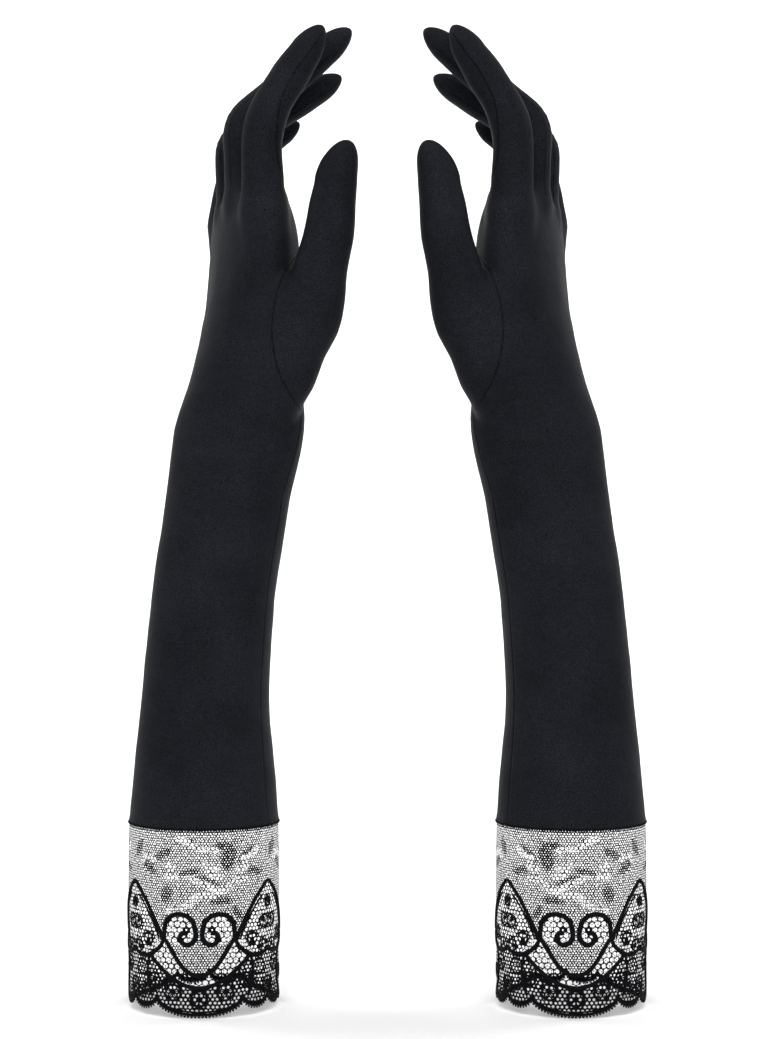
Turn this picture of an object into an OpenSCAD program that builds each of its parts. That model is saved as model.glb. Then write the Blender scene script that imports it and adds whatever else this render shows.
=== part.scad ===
// A pair of elbow-length stretch gloves with lace cuffs, worn shape, standing with the fingers up.
// Each glove is drawn as a left glove; the right one is its mirror image across X = 0.

/* [Pair] */
// distance from the arms' own plane back to the middle of the pair, so that the origin is under its centre
middle_set_back = 9.7; // [0:0.1:20]
// distance between the two cuffs, centre to centre
pair_spacing = 170; // [165:1:260]
// thickness of the cloth
wall = 0.8; // [0.6:0.1:1.0]
// gap between neighbouring panels, where the seam thread runs
seam_gap = 0.3; // [0.3:0.05:0.5]

/* [Sleeve] */
// height of the lace cuff
cuff_height = 83.5; // [60:0.5:120]
// length of the satin sleeve, from the cuff to the start of the wrist
sleeve_length = 151; // [110:1:220]
// width of the sleeve at the cuff
cuff_width = 69; // [60:1:84]
// depth of the sleeve at the cuff
cuff_depth = 63; // [54:1:76]
// width of the sleeve at its middle
forearm_width = 59; // [54:1:72]
// depth of the sleeve at its middle
forearm_depth = 55.5; // [48:1:66]
// sideways lean of the arm, from the cuff to the wrist
arm_lean = 16.3; // [8:0.1:20]

/* [Lace edge] */
// number of repeats of the scallop pattern round the cuff
scallop_repeats = 3; // [2:1:4]
// depth of the large scallops
large_scallop = 9; // [5:0.5:14]
// depth of the small scallops
small_scallop = 5; // [3:0.5:8]
// share of one repeat that the large scallop takes
large_share = 0.55; // [0.45:0.05:0.65]
// height of the hem band that joins lace and satin
hem_band = 1.2; // [1:0.1:2]

/* [Palm] */
// height of the wrist zone that bends
wrist_zone = 40; // [36:1:48]
// width of the wrist
wrist_width = 60; // [56:1:64]
// depth of the wrist
wrist_depth = 50.5; // [46:0.5:56]
// length of the palm, from the wrist zone to the middle knuckle
palm_length = 93.6; // [84:0.1:112]
// thickness of the hand at the knuckles
palm_thickness = 31; // [28:1:36]
// turn of the knuckle line about the vertical
palm_turn = 20; // [10:1:24]
// spacing of the fingers along the knuckle line, seen across
finger_pitch = 18; // [18:0.5:20]

/* [Fingers] */
// width of the index, middle and ring stalls
finger_width = 17.4; // [16:0.1:17.6]
// width of the little stall
little_width = 14.6; // [12:0.1:15]
// length of the index stall
index_length = 90.4; // [80:0.1:105]
// length of the middle stall
middle_length = 101.2; // [88:0.1:112]
// length of the ring stall
ring_length = 91; // [78:0.1:102]
// length of the little stall
little_length = 65.7; // [56:0.1:76]
// thickness of the index stall at its base
index_thickness = 20; // [16:0.5:22]
// thickness of the middle stall at its base
middle_thickness = 18; // [15:0.5:20]
// thickness of the ring stall at its base
ring_thickness = 16.5; // [14:0.5:18]
// thickness of the little stall at its base
little_thickness = 14; // [12:0.5:16]
// bend of the index stall at its tip
index_bend = 33.4; // [10:0.1:50]
// bend of the middle stall at its tip
middle_bend = 49.4; // [10:0.1:60]
// bend of the ring stall at its tip
ring_bend = 58.9; // [10:0.1:65]
// bend of the little stall at its tip
little_bend = 58.4; // [10:0.1:65]

/* [Thumb] */
// length of the thumb stall above its crease
thumb_length = 40.8; // [36:0.1:52]
// thickness of the thumb stall at its base
thumb_thickness = 23.5; // [20:0.5:26]
// width of the thumb stall at its base
thumb_width = 21; // [18:0.5:22]

/* [Hidden] */
LEFT = 1;
RIGHT = -1;
INDEX = 0;
MIDDLE = 1;
RING = 2;
LITTLE = 3;
satin = [0.1, 0.1, 0.12];
lace = [0.2, 0.2, 0.22];
thread = [0.05, 0.05, 0.06];

// heights of the zones, each one standing on the last
sleeve_top = cuff_height + sleeve_length;
palm_start = sleeve_top + wrist_zone;
wrist_line = palm_start - 0.25 * wrist_zone;
knuckle_height = palm_start + palm_length;
thumb_root = palm_start + 0.645 * palm_length;
cuff_x = -pair_spacing / 2;
wrist_x = cuff_x + arm_lean;
knuckle_x = wrist_x + 4.2;
knuckle_half = 2.14 * finger_pitch;

// stations of the arm and hand: height, centre x, half thickness, half width, turn
ARM = [
    [0, cuff_x, cuff_width / 2, cuff_depth / 2 + 0.5, 0],
    [cuff_height, cuff_x, cuff_width / 2 - 0.1, cuff_depth / 2 - 0.5, 0],
    [cuff_height + 0.36 * sleeve_length, cuff_x + 0.04 * arm_lean, forearm_width / 2 + 0.2, forearm_depth / 2, 0],
    [cuff_height + 0.68 * sleeve_length, cuff_x + 0.26 * arm_lean, forearm_width / 2 - 0.7, forearm_depth / 2 - 1.2, 0],
    [sleeve_top - 3, cuff_x + 0.66 * arm_lean, forearm_width / 2 - 0.7, wrist_depth / 2, 0],
    [wrist_line, wrist_x, wrist_width / 2 + 0.1, wrist_depth / 2, 0],
    [palm_start + 0.13 * palm_length, wrist_x + 3, 0.84 * palm_thickness, 0.76 * knuckle_half, 0.3 * palm_turn],
    [palm_start + 0.41 * palm_length, wrist_x + 5.7, 0.73 * palm_thickness, 0.89 * knuckle_half, 0.6 * palm_turn],
    [palm_start + 0.62 * palm_length, wrist_x + 6.2, 0.63 * palm_thickness, 0.97 * knuckle_half, 0.8 * palm_turn],
    [palm_start + 0.79 * palm_length, wrist_x + 6.2, 0.56 * palm_thickness, knuckle_half, 0.95 * palm_turn],
    [knuckle_height, knuckle_x, 0.42 * palm_thickness, 0.99 * knuckle_half, palm_turn],
];

// where the thumb opening's two borders lie round the hand: share of the palm's length, angle
THUMB_SEAM = [[0, -8], [0.05, -37], [0.115, -54], [0.2, -66], [0.295, -75], [0.39, -80], [0.5, -81],
    [0.615, -76], [0.645, -73], [0.74, -38], [0.82, -50], [1, -60]];
THUMB_PALM_BORDER = [[0, -6], [0.07, 0], [0.17, 5], [0.475, 4], [0.56, -22], [0.605, -50], [0.635, -61],
    [0.685, -57.5], [0.74, -36.5], [0.82, -48.5], [1, -58.5]];
// stations of the thumb: share of the palm's length, x from the wrist, y, half thickness, half width
THUMB = [
    [0.02, 27, -6, 3.6, 4],
    [0.11, 30.5, -17, 6.8, 8],
    [0.2, 32, -23, 9.8, 11],
    [0.39, 34.6, -28, 13.4, 12.4],
    [0.52, 36.8, -32, 13.4, 12],
    [0.645, 40.3, -36.5, 0.52 * thumb_thickness, 0.52 * thumb_width],
];

// fingers: side position in pitches, height and x of the base from the knuckles, length, bends, knuckle, softness, thickness, width
FINGERS = [
    [-1.5, -7.2, 8.5, index_length, -1.5, index_bend, 0.46, 0.21, index_thickness, finger_width],
    [-0.5, -0.8, -0.9, middle_length, -3.2, middle_bend, 0.34, 0.12, middle_thickness, finger_width],
    [0.5, -4.4, -7.1, ring_length, -4.2, ring_bend, 0.35, 0.13, ring_thickness, finger_width],
    [1.42, -7.2, -13.4, little_length, -8.6, little_bend, 0.34, 0.28, little_thickness, little_width],
];
// angles round a finger where its panels meet: 0 faces the palm, 180 the back, 90 the little finger's side
PALM_EDGE = 55;
BACK_EDGE = 125;
OUTER_SEAM = 90;
FRONT_BACK_EDGE = 235;
FRONT_PALM_EDGE = 305;
INDEX_SEAM = 300;
// angle of the sleeve's seam, which runs up to the thumb, and of its seam at the back
SIDE_SEAM = -28;
BACK_SEAM = -180;
crease_start = 14;
fold_rows = 3;
finger_rows = 7;
tip_rows = 4;
spine_steps = 36;
angle_gap = 1;
turn_per_mm = 2;

// smooth value of column k of a table at height z
function cubic(p0, p1, p2, p3, t) =
    p1 + 0.5 * t * (p2 - p0 + t * (2 * p0 - 5 * p1 + 4 * p2 - p3 + t * (3 * (p1 - p2) + p3 - p0)));
function row_at(table, z, i = 0) = (i >= len(table) - 2 || z < table[i + 1][0]) ? i : row_at(table, z, i + 1);
function smooth_at(table, z, k) =
    let (i = row_at(table, z), n = len(table) - 1)
    let (t = (z - table[i][0]) / (table[i + 1][0] - table[i][0]))
    cubic(table[max(i - 1, 0)][k], table[i][k], table[i + 1][k], table[min(i + 2, n)][k], max(0, min(1, t)));

// a point on the arm or hand at height z and angle a, inset into the cloth
function arm_point(z, a, inset) =
    let (t = smooth_at(ARM, z, 2) - inset, w = smooth_at(ARM, z, 3) - inset, turn = smooth_at(ARM, z, 4))
    let (u = t * cos(a), v = w * sin(a))
    [smooth_at(ARM, z, 1) + u * cos(turn) - v * sin(turn), u * sin(turn) + v * cos(turn), z];

// the hand's upper edge follows the bases of the four fingers, clear of their tilted rims
rim_clearance = 1.3;
function hand_edge(a) = knuckle_height - seam_gap - rim_clearance + lookup(knuckle_half * sin(a), [
    [-2.1 * finger_pitch, FINGERS[INDEX][1] - 1], [-1.5 * finger_pitch, FINGERS[INDEX][1]],
    [-0.5 * finger_pitch, FINGERS[MIDDLE][1]], [0.5 * finger_pitch, FINGERS[RING][1]],
    [1.42 * finger_pitch, FINGERS[LITTLE][1]], [2.1 * finger_pitch, FINGERS[LITTLE][1] - 3]]);
function seam_angle(z) = lookup((z - palm_start) / palm_length, THUMB_SEAM);
function palm_border_angle(z) = lookup((z - palm_start) / palm_length, THUMB_PALM_BORDER);

// scalloped lower edge of the lace: height above the table at an angle
function dome(x, depth) = depth * (1 - sqrt(max(0, 1 - pow(2 * x - 1, 2))));
function lace_edge(a) =
    let (r = (a + 360 + 100) * scallop_repeats / 360, f = r - floor(r), g = (1 - large_share) / 2)
    f < g ? large_scallop - small_scallop + dome(f / g, small_scallop)
    : f < g + large_share ? dome((f - g) / large_share, large_scallop)
    : large_scallop - small_scallop + dome((f - g - large_share) / g, small_scallop);

// centre line of a finger: running sum of short steps that turn at the knuckle
function soft_step(x) = let (c = max(0, min(1, x))) c * c * (3 - 2 * c);
function bend_at(f, u) = f[4] + (f[5] - f[4]) * soft_step((u - f[6] + f[7]) / (2 * f[7]));
function spine(f) =
    let (d = f[3] / spine_steps)
    [for (i = 0, x = knuckle_x + f[2], z = knuckle_height + f[1], a = bend_at(f, 0);
          i <= spine_steps;
          a = bend_at(f, (i + 0.5) / spine_steps), x = x + d * sin(a), z = z + d * cos(a), i = i + 1)
        [i * d, x, z]];
function spine_x(line, s) = lookup(s, [for (p = line) [p[0], p[1]]]);
function spine_z(line, s) = lookup(s, [for (p = line) [p[0], p[2]]]);

// rounded section of a finger, narrowing to a rounded tip
function power_cos(a) = sign(cos(a)) * pow(abs(cos(a)), 0.85);
function power_sin(a) = sign(sin(a)) * pow(abs(sin(a)), 0.85);
function finger_point(f, line, s, round_part, a, inset) =
    let (slim = 1 - 0.3 * s / f[3], cap = sqrt(max(0, 1 - round_part * round_part)), bend = bend_at(f, s / f[3]))
    let (thin = max((f[8] / 2 * slim - inset) * cap, inset > 0 ? 0.15 : 0.45))
    let (wide = (f[9] / 2 * (0.12 * cap + 0.88 * slim) - inset) * (0.45 + 0.55 * cap))
    let (u = thin * power_cos(a))
    [spine_x(line, s) + u * cos(bend), f[0] * finger_pitch + wide * power_sin(a), spine_z(line, s) - u * sin(bend)];

// rows of a finger: evenly up the shaft, then closing round the tip
function tip_length(f) = 0.4 * f[8];
function finger_rows_list(f, s0) = concat(
    [for (i = [0 : finger_rows]) [s0 + (f[3] - tip_length(f) - s0) * i / finger_rows, 0]],
    [for (i = [1 : tip_rows]) let (q = sin(90 * i / tip_rows)) [f[3] + tip_length(f) * (q - 1), q]]);

// outline of the thumb base at a height, between its two borders; v runs from 0 to 1
// the inner sheet's ends are set back along the hand as well, so that the cloth keeps its thickness there
function thumb_start(z, inset) = arm_point(z, seam_angle(z) + 2 * angle_gap + inset * turn_per_mm, inset);
function thumb_end(z, inset) = arm_point(z, palm_border_angle(z) - 2 * angle_gap - inset * turn_per_mm, inset);
function thumb_centre(z) =
    let (q = (z - palm_start) / palm_length)
    [wrist_x + smooth_at(THUMB, q, 1), smooth_at(THUMB, q, 2), z];
function thumb_half(z, k) = smooth_at(THUMB, (z - palm_start) / palm_length, k);
function direction(p, z) = let (d = p - thumb_centre(z)) atan2(d.y / thumb_half(z, 4), d.x / thumb_half(z, 3));
function thumb_ring(z, a, inset) =
    thumb_centre(z) + [(thumb_half(z, 3) - inset) * cos(a), (thumb_half(z, 4) - inset) * sin(a), 0];
function thumb_point(z, v, inset) =
    let (p = thumb_start(z, inset), q = thumb_end(z, inset), d0 = direction(p, z), d1 = direction(q, z))
    let (a0 = d0 > 60 ? d0 - 360 : d0, a1 = d1 < -60 ? d1 + 360 : d1)
    let (keep = pow(1 - v, 2), kept = pow(v, 2))
    thumb_ring(z, a0 + (a1 - a0) * v, inset) + keep * (p - thumb_ring(z, a0, inset))
        + kept * (q - thumb_ring(z, a1, inset));

// the thumb above its base: a tapering tube that leans towards the palm and closes at its tip
thumb_fold = 16;
thumb_tip = thumb_fold + thumb_length;
function thumb_tube(s, round_part, a, inset) =
    let (c = thumb_centre(thumb_root), cap = sqrt(max(0, 1 - round_part * round_part)), q = s / thumb_tip)
    let (slim = 1 - 0.28 * q * q, thin = max((thumb_thickness * 0.54 * slim - inset) * cap, inset > 0 ? 0.15 : 0.45))
    let (wide = (thumb_width * 0.52 * slim - inset) * (0.45 + 0.55 * cap))
    c + [9.6 * q + thin * power_cos(a), -10.5 * sin(90 * q) + wide * power_sin(a), s];

// one panel of cloth: an outer sheet, an inner sheet and the rims that close them
module panel(outer, inner, side, ring = false) {
    rows = len(outer);
    cols = len(outer[0]);
    last = ring ? cols - 1 : cols - 2;
    far = rows * cols;
    points = [for (sheet = [outer, inner]) for (line = sheet) for (p = line) [p.x * side, p.y + middle_set_back, p.z]];
    sheets = [for (r = [0 : rows - 2]) for (c = [0 : last])
        let (a = r * cols + c, b = r * cols + (c + 1) % cols, d = a + cols, e = b + cols)
        each [[a, d, e], [a, e, b], [far + a, far + e, far + d], [far + a, far + b, far + e]]];
    low_rim = [for (c = [0 : last])
        let (a = c, b = (c + 1) % cols)
        each [[a, b, far + b], [a, far + b, far + a]]];
    high_rim = [for (c = [0 : last])
        let (d = (rows - 1) * cols + c, e = (rows - 1) * cols + (c + 1) % cols)
        each [[e, d, far + d], [e, far + d, far + e]]];
    side_rims = ring ? [] : [for (r = [0 : rows - 2])
        let (a = r * cols, d = a + cols, b = a + cols - 1, e = b + cols)
        each [[d, a, far + a], [d, far + a, far + d], [b, e, far + e], [b, far + e, far + b]]];
    faces = concat(sheets, low_rim, high_rim, side_rims);
    polyhedron(points, side > 0 ? faces : [for (f = faces) [f[2], f[1], f[0]]]);
}

module arm_panel(side, z0, z1, a0, a1, rows, cols) {
    grid = [for (inset = [0, wall]) [for (r = [0 : rows]) [for (c = [0 : cols])
        arm_point(z0 + (z1 - z0) * r / rows, a0 + (a1 - a0) * c / cols, inset)]]];
    panel(grid[0], grid[1], side);
}

module lace_cuff(side) {
    rows = 3;
    cols = 66;
    top = cuff_height - hem_band / 2 - 0.05;
    grid = [for (inset = [0, wall]) [for (r = [0 : rows]) [for (c = [0 : cols - 1])
        let (a = 360 * c / cols, low = lace_edge(a))
        arm_point(low + (top - low) * r / rows, a, inset)]]];
    color(lace) panel(grid[0], grid[1], side, true);
}

module cuff_seam(side) {
    cols = 30;
    grid = [for (inset = [-0.4, wall + 0.4]) [for (z = [-1, 1] * hem_band / 2) [for (c = [0 : cols - 1])
        arm_point(cuff_height + z, 360 * c / cols, inset)]]];
    color(thread) panel(grid[0], grid[1], side, true);
}

module sleeve_back(side) {
    color(satin) arm_panel(side, cuff_height + hem_band / 2 + 0.05, sleeve_top, SIDE_SEAM + angle_gap / 2 - 360,
        BACK_SEAM - angle_gap / 2, 8, 14);
}

module sleeve_palm(side) {
    color(satin) arm_panel(side, cuff_height + hem_band / 2 + 0.05, sleeve_top, BACK_SEAM + angle_gap / 2,
        SIDE_SEAM - angle_gap / 2, 8, 14);
}

module wrist_fabric(side) {
    rows = 5;
    cols = 26;
    z0 = sleeve_top + seam_gap;
    grid = [for (inset = [0, wall]) [for (r = [0 : rows]) [for (c = [0 : cols - 1])
        arm_point(z0 + (wrist_zone - 2 * seam_gap) * r / rows, 360 * c / cols, inset)]]];
    color(satin) panel(grid[0], grid[1], side, true);
}

// hand panels: each row runs between the thumb opening and the little finger's side
function hand_z(u, a) = palm_start + (hand_edge(a) - palm_start) * u;

module hand_back(side) {
    rows = 12;
    cols = 14;
    grid = [for (inset = [0, wall]) [for (r = [0 : rows]) [for (c = [0 : cols])
        let (border = seam_angle(hand_z(r / rows, -60)), a = 90 + (270 - 90 + border + 90) * c / cols)
        arm_point(hand_z(r / rows, a), a + angle_gap / 2, inset)]]];
    color(satin) panel(grid[0], grid[1], side);
}

module hand_palm(side) {
    rows = 12;
    cols = 9;
    grid = [for (inset = [0, wall]) [for (r = [0 : rows]) [for (c = [0 : cols])
        let (border = palm_border_angle(hand_z(r / rows, -60)) + angle_gap, a = border + (90 - border) * c / cols)
        arm_point(hand_z(r / rows, a), a - angle_gap / 2, inset)]]];
    color(satin) panel(grid[0], grid[1], side);
}

module knuckle_fabric(side) {
    cols = 14;
    color(satin) for (f = FINGERS) {
        line = spine(f);
        grid = [for (inset = [0, wall]) [for (r = [0 : fold_rows]) [for (c = [0 : cols - 1])
            finger_point(f, line, (crease_start - seam_gap) * r / fold_rows, 0, 360 * c / cols, inset)]]];
        panel(grid[0], grid[1], side, true);
    }
}

module thumb_base(side) {
    rows = 9;
    cols = 12;
    z0 = palm_start + 0.02 * palm_length;
    z1 = thumb_root - seam_gap;
    grid = [for (inset = [0, wall]) [for (r = [0 : rows]) [for (c = [0 : cols])
        thumb_point(z0 + (z1 - z0) * r / rows, c / cols, inset)]]];
    color(satin) panel(grid[0], grid[1], side);
}

module thumb_crease(side) {
    cols = 16;
    grid = [for (inset = [0, wall]) [for (r = [0 : 3]) [for (c = [0 : cols - 1])
        thumb_tube((thumb_fold - seam_gap) * r / 3, 0, 360 * c / cols, inset)]]];
    color(satin) panel(grid[0], grid[1], side, true);
}

module thumb_stall(side) {
    cols = 16;
    cap = 0.45 * thumb_thickness;
    list = concat([for (i = [0 : 5]) [thumb_fold + (thumb_length - cap) * i / 5, 0]],
        [for (i = [1 : tip_rows]) let (q = sin(90 * i / tip_rows)) [thumb_tip + cap * (q - 1), q]]);
    grid = [for (inset = [0, wall]) [for (p = list) [for (c = [0 : cols - 1])
        thumb_tube(p[0] - inset * p[1], p[1], 360 * c / cols, inset)]]];
    color(satin) panel(grid[0], grid[1], side, true);
}

// one strip of a finger between two angles round it: 0 faces the palm, 180 the back
module finger_strip(side, which, a0, a1, cols) {
    f = FINGERS[which];
    line = spine(f);
    grid = [for (inset = [0, wall]) [for (p = finger_rows_list(f, crease_start)) [for (c = [0 : cols])
        finger_point(f, line, p[0] - inset * p[1], p[1], a0 + angle_gap + (a1 - a0 - 2 * angle_gap) * c / cols, inset)]]];
    color(satin) panel(grid[0], grid[1], side);
}

lace_cuff(LEFT);  // left_lace_cuff
cuff_seam(LEFT);  // left_cuff_seam
sleeve_back(LEFT);  // left_sleeve_back
sleeve_palm(LEFT);  // left_sleeve_palm
wrist_fabric(LEFT);  // left_wrist_fabric
hand_back(LEFT);  // left_hand_back
hand_palm(LEFT);  // left_hand_palm
knuckle_fabric(LEFT);  // left_knuckle_fabric
thumb_base(LEFT);  // left_thumb_base
thumb_crease(LEFT);  // left_thumb_crease
thumb_stall(LEFT);  // left_thumb_stall
finger_strip(LEFT, INDEX, BACK_EDGE, INDEX_SEAM, 6);  // left_index_back
finger_strip(LEFT, INDEX, INDEX_SEAM - 360, PALM_EDGE, 5);  // left_index_palm
finger_strip(LEFT, MIDDLE, BACK_EDGE, FRONT_BACK_EDGE, 5);  // left_middle_back
finger_strip(LEFT, MIDDLE, -PALM_EDGE, PALM_EDGE, 5);  // left_middle_palm
finger_strip(LEFT, RING, BACK_EDGE, FRONT_BACK_EDGE, 5);  // left_ring_back
finger_strip(LEFT, RING, -PALM_EDGE, PALM_EDGE, 5);  // left_ring_palm
finger_strip(LEFT, LITTLE, OUTER_SEAM, FRONT_BACK_EDGE, 6);  // left_little_back
finger_strip(LEFT, LITTLE, -PALM_EDGE, OUTER_SEAM, 5);  // left_little_palm
finger_strip(LEFT, INDEX, PALM_EDGE, BACK_EDGE, 2);  // left_gusset_index_side
finger_strip(LEFT, MIDDLE, FRONT_BACK_EDGE, FRONT_PALM_EDGE, 2);  // left_gusset_middle_front
finger_strip(LEFT, MIDDLE, PALM_EDGE, BACK_EDGE, 2);  // left_gusset_middle_side
finger_strip(LEFT, RING, FRONT_BACK_EDGE, FRONT_PALM_EDGE, 2);  // left_gusset_ring_front
finger_strip(LEFT, RING, PALM_EDGE, BACK_EDGE, 2);  // left_gusset_ring_side
finger_strip(LEFT, LITTLE, FRONT_BACK_EDGE, FRONT_PALM_EDGE, 2);  // left_gusset_little_front
lace_cuff(RIGHT);  // right_lace_cuff
cuff_seam(RIGHT);  // right_cuff_seam
sleeve_back(RIGHT);  // right_sleeve_back
sleeve_palm(RIGHT);  // right_sleeve_palm
wrist_fabric(RIGHT);  // right_wrist_fabric
hand_back(RIGHT);  // right_hand_back
hand_palm(RIGHT);  // right_hand_palm
knuckle_fabric(RIGHT);  // right_knuckle_fabric
thumb_base(RIGHT);  // right_thumb_base
thumb_crease(RIGHT);  // right_thumb_crease
thumb_stall(RIGHT);  // right_thumb_stall
finger_strip(RIGHT, INDEX, BACK_EDGE, INDEX_SEAM, 6);  // right_index_back
finger_strip(RIGHT, INDEX, INDEX_SEAM - 360, PALM_EDGE, 5);  // right_index_palm
finger_strip(RIGHT, MIDDLE, BACK_EDGE, FRONT_BACK_EDGE, 5);  // right_middle_back
finger_strip(RIGHT, MIDDLE, -PALM_EDGE, PALM_EDGE, 5);  // right_middle_palm
finger_strip(RIGHT, RING, BACK_EDGE, FRONT_BACK_EDGE, 5);  // right_ring_back
finger_strip(RIGHT, RING, -PALM_EDGE, PALM_EDGE, 5);  // right_ring_palm
finger_strip(RIGHT, LITTLE, OUTER_SEAM, FRONT_BACK_EDGE, 6);  // right_little_back
finger_strip(RIGHT, LITTLE, -PALM_EDGE, OUTER_SEAM, 5);  // right_little_palm
finger_strip(RIGHT, INDEX, PALM_EDGE, BACK_EDGE, 2);  // right_gusset_index_side
finger_strip(RIGHT, MIDDLE, FRONT_BACK_EDGE, FRONT_PALM_EDGE, 2);  // right_gusset_middle_front
finger_strip(RIGHT, MIDDLE, PALM_EDGE, BACK_EDGE, 2);  // right_gusset_middle_side
finger_strip(RIGHT, RING, FRONT_BACK_EDGE, FRONT_PALM_EDGE, 2);  // right_gusset_ring_front
finger_strip(RIGHT, RING, PALM_EDGE, BACK_EDGE, 2);  // right_gusset_ring_side
finger_strip(RIGHT, LITTLE, FRONT_BACK_EDGE, FRONT_PALM_EDGE, 2);  // right_gusset_little_front
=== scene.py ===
"""A mirrored pair of satin opera gloves with lace cuffs, standing with the fingers up.

The satin of each hand is one smooth skin: the arm, four fingers and a thumb are joined as a field of
distances, and a net of quads is drawn over its surface. The sleeve and the lace are grids on the arm.
All shapes are worked out in millimetres for the left glove and mirrored for the right one.
"""

import logging
import math
from dataclasses import dataclass, field
from enum import Enum

import bpy
import numpy as np
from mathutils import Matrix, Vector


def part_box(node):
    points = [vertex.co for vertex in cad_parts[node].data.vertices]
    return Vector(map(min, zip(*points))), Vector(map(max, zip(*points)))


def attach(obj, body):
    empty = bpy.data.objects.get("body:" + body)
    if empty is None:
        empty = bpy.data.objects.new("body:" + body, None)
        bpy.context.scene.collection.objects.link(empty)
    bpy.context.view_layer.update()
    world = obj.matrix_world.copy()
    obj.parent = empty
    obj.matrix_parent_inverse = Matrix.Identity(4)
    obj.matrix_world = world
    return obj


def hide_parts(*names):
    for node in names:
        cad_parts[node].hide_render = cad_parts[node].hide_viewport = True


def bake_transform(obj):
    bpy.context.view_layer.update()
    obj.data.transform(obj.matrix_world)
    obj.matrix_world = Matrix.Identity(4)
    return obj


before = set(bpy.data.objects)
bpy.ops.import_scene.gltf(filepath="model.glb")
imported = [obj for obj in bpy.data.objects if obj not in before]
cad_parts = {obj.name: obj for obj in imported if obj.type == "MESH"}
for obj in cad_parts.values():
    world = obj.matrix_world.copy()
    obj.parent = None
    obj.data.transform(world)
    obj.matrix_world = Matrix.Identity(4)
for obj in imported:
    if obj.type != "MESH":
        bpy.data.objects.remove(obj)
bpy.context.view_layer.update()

log = logging.getLogger("gloves")
MM = 0.001
FAR = 60.0  # stands for any distance that is too large to matter, in mm
Array = np.ndarray
Place = tuple[float, float, float]


class Side(Enum):
    """Which hand a glove is for; the value is the sign of X."""

    LEFT = 1
    RIGHT = -1

    @property
    def word(self) -> str:
        """The side's name as it starts a node's name."""
        return self.name.lower()


# ---------------------------------------------------------------- curves and fields


def smooth_step(x: Array) -> Array:
    """Cubic ease from 0 to 1.

    Args:
        x: Where along the ease, held between 0 and 1.

    Returns:
        3x^2 - 2x^3.
    """
    t = np.clip(x, 0.0, 1.0)
    return t * t * (3.0 - 2.0 * t)


def smooth_min(a: Array, b: Array, reach: float | Array) -> Array:
    """The lower of two fields with a fillet where they are within reach of each other.

    Args:
        a: First field.
        b: Second field.
        reach: Size of the fillet, in mm.

    Returns:
        min(a, b) less a quarter of reach times the square of their nearness.
    """
    near = np.maximum(reach - np.abs(a - b), 0.0) / reach
    return np.minimum(a, b) - near * near * reach * 0.25


def ripple(p: Array, size: float, seed: int) -> Array:
    """Soft noise of about unit height: a sum of sine waves in seeded directions.

    Args:
        p: Points, one row each.
        size: Typical distance between crests, in mm.
        seed: Seed of the directions.

    Returns:
        One value for each point.
    """
    rng = np.random.default_rng(seed)
    total = np.zeros(len(p))
    waves = 7
    for _ in range(waves):
        way = rng.normal(size=3)
        way /= np.linalg.norm(way)
        total += np.sin(p @ way * (2 * math.pi / size) * rng.uniform(0.7, 1.5) + rng.uniform(0, 6.28))
    return total / math.sqrt(waves)


def through(points: list[tuple[float, float]], count: int) -> Array:
    """A smooth plane curve through a few points, by the Catmull-Rom rule.

    Args:
        points: The points, in order.
        count: Number of points returned.

    Returns:
        The curve, spaced evenly along its length.
    """
    p = np.array(points, float)
    p = np.vstack([2 * p[0] - p[1], p, 2 * p[-1] - p[-2]])
    t = np.linspace(0, len(points) - 1.0001, 40 * len(points))
    i, f = t.astype(int), (t % 1.0)[:, None]
    a, b, c, d = p[i], p[i + 1], p[i + 2], p[i + 3]
    q = b + 0.5 * f * (c - a + f * (2 * a - 5 * b + 4 * c - d + f * (3 * (b - c) + d - a)))
    run = np.concatenate([[0.0], np.cumsum(np.linalg.norm(np.diff(q, axis=0), axis=1))])
    s = np.linspace(0, run[-1], count)
    return np.column_stack([np.interp(s, run, q[:, k]) for k in range(q.shape[1])])


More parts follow.
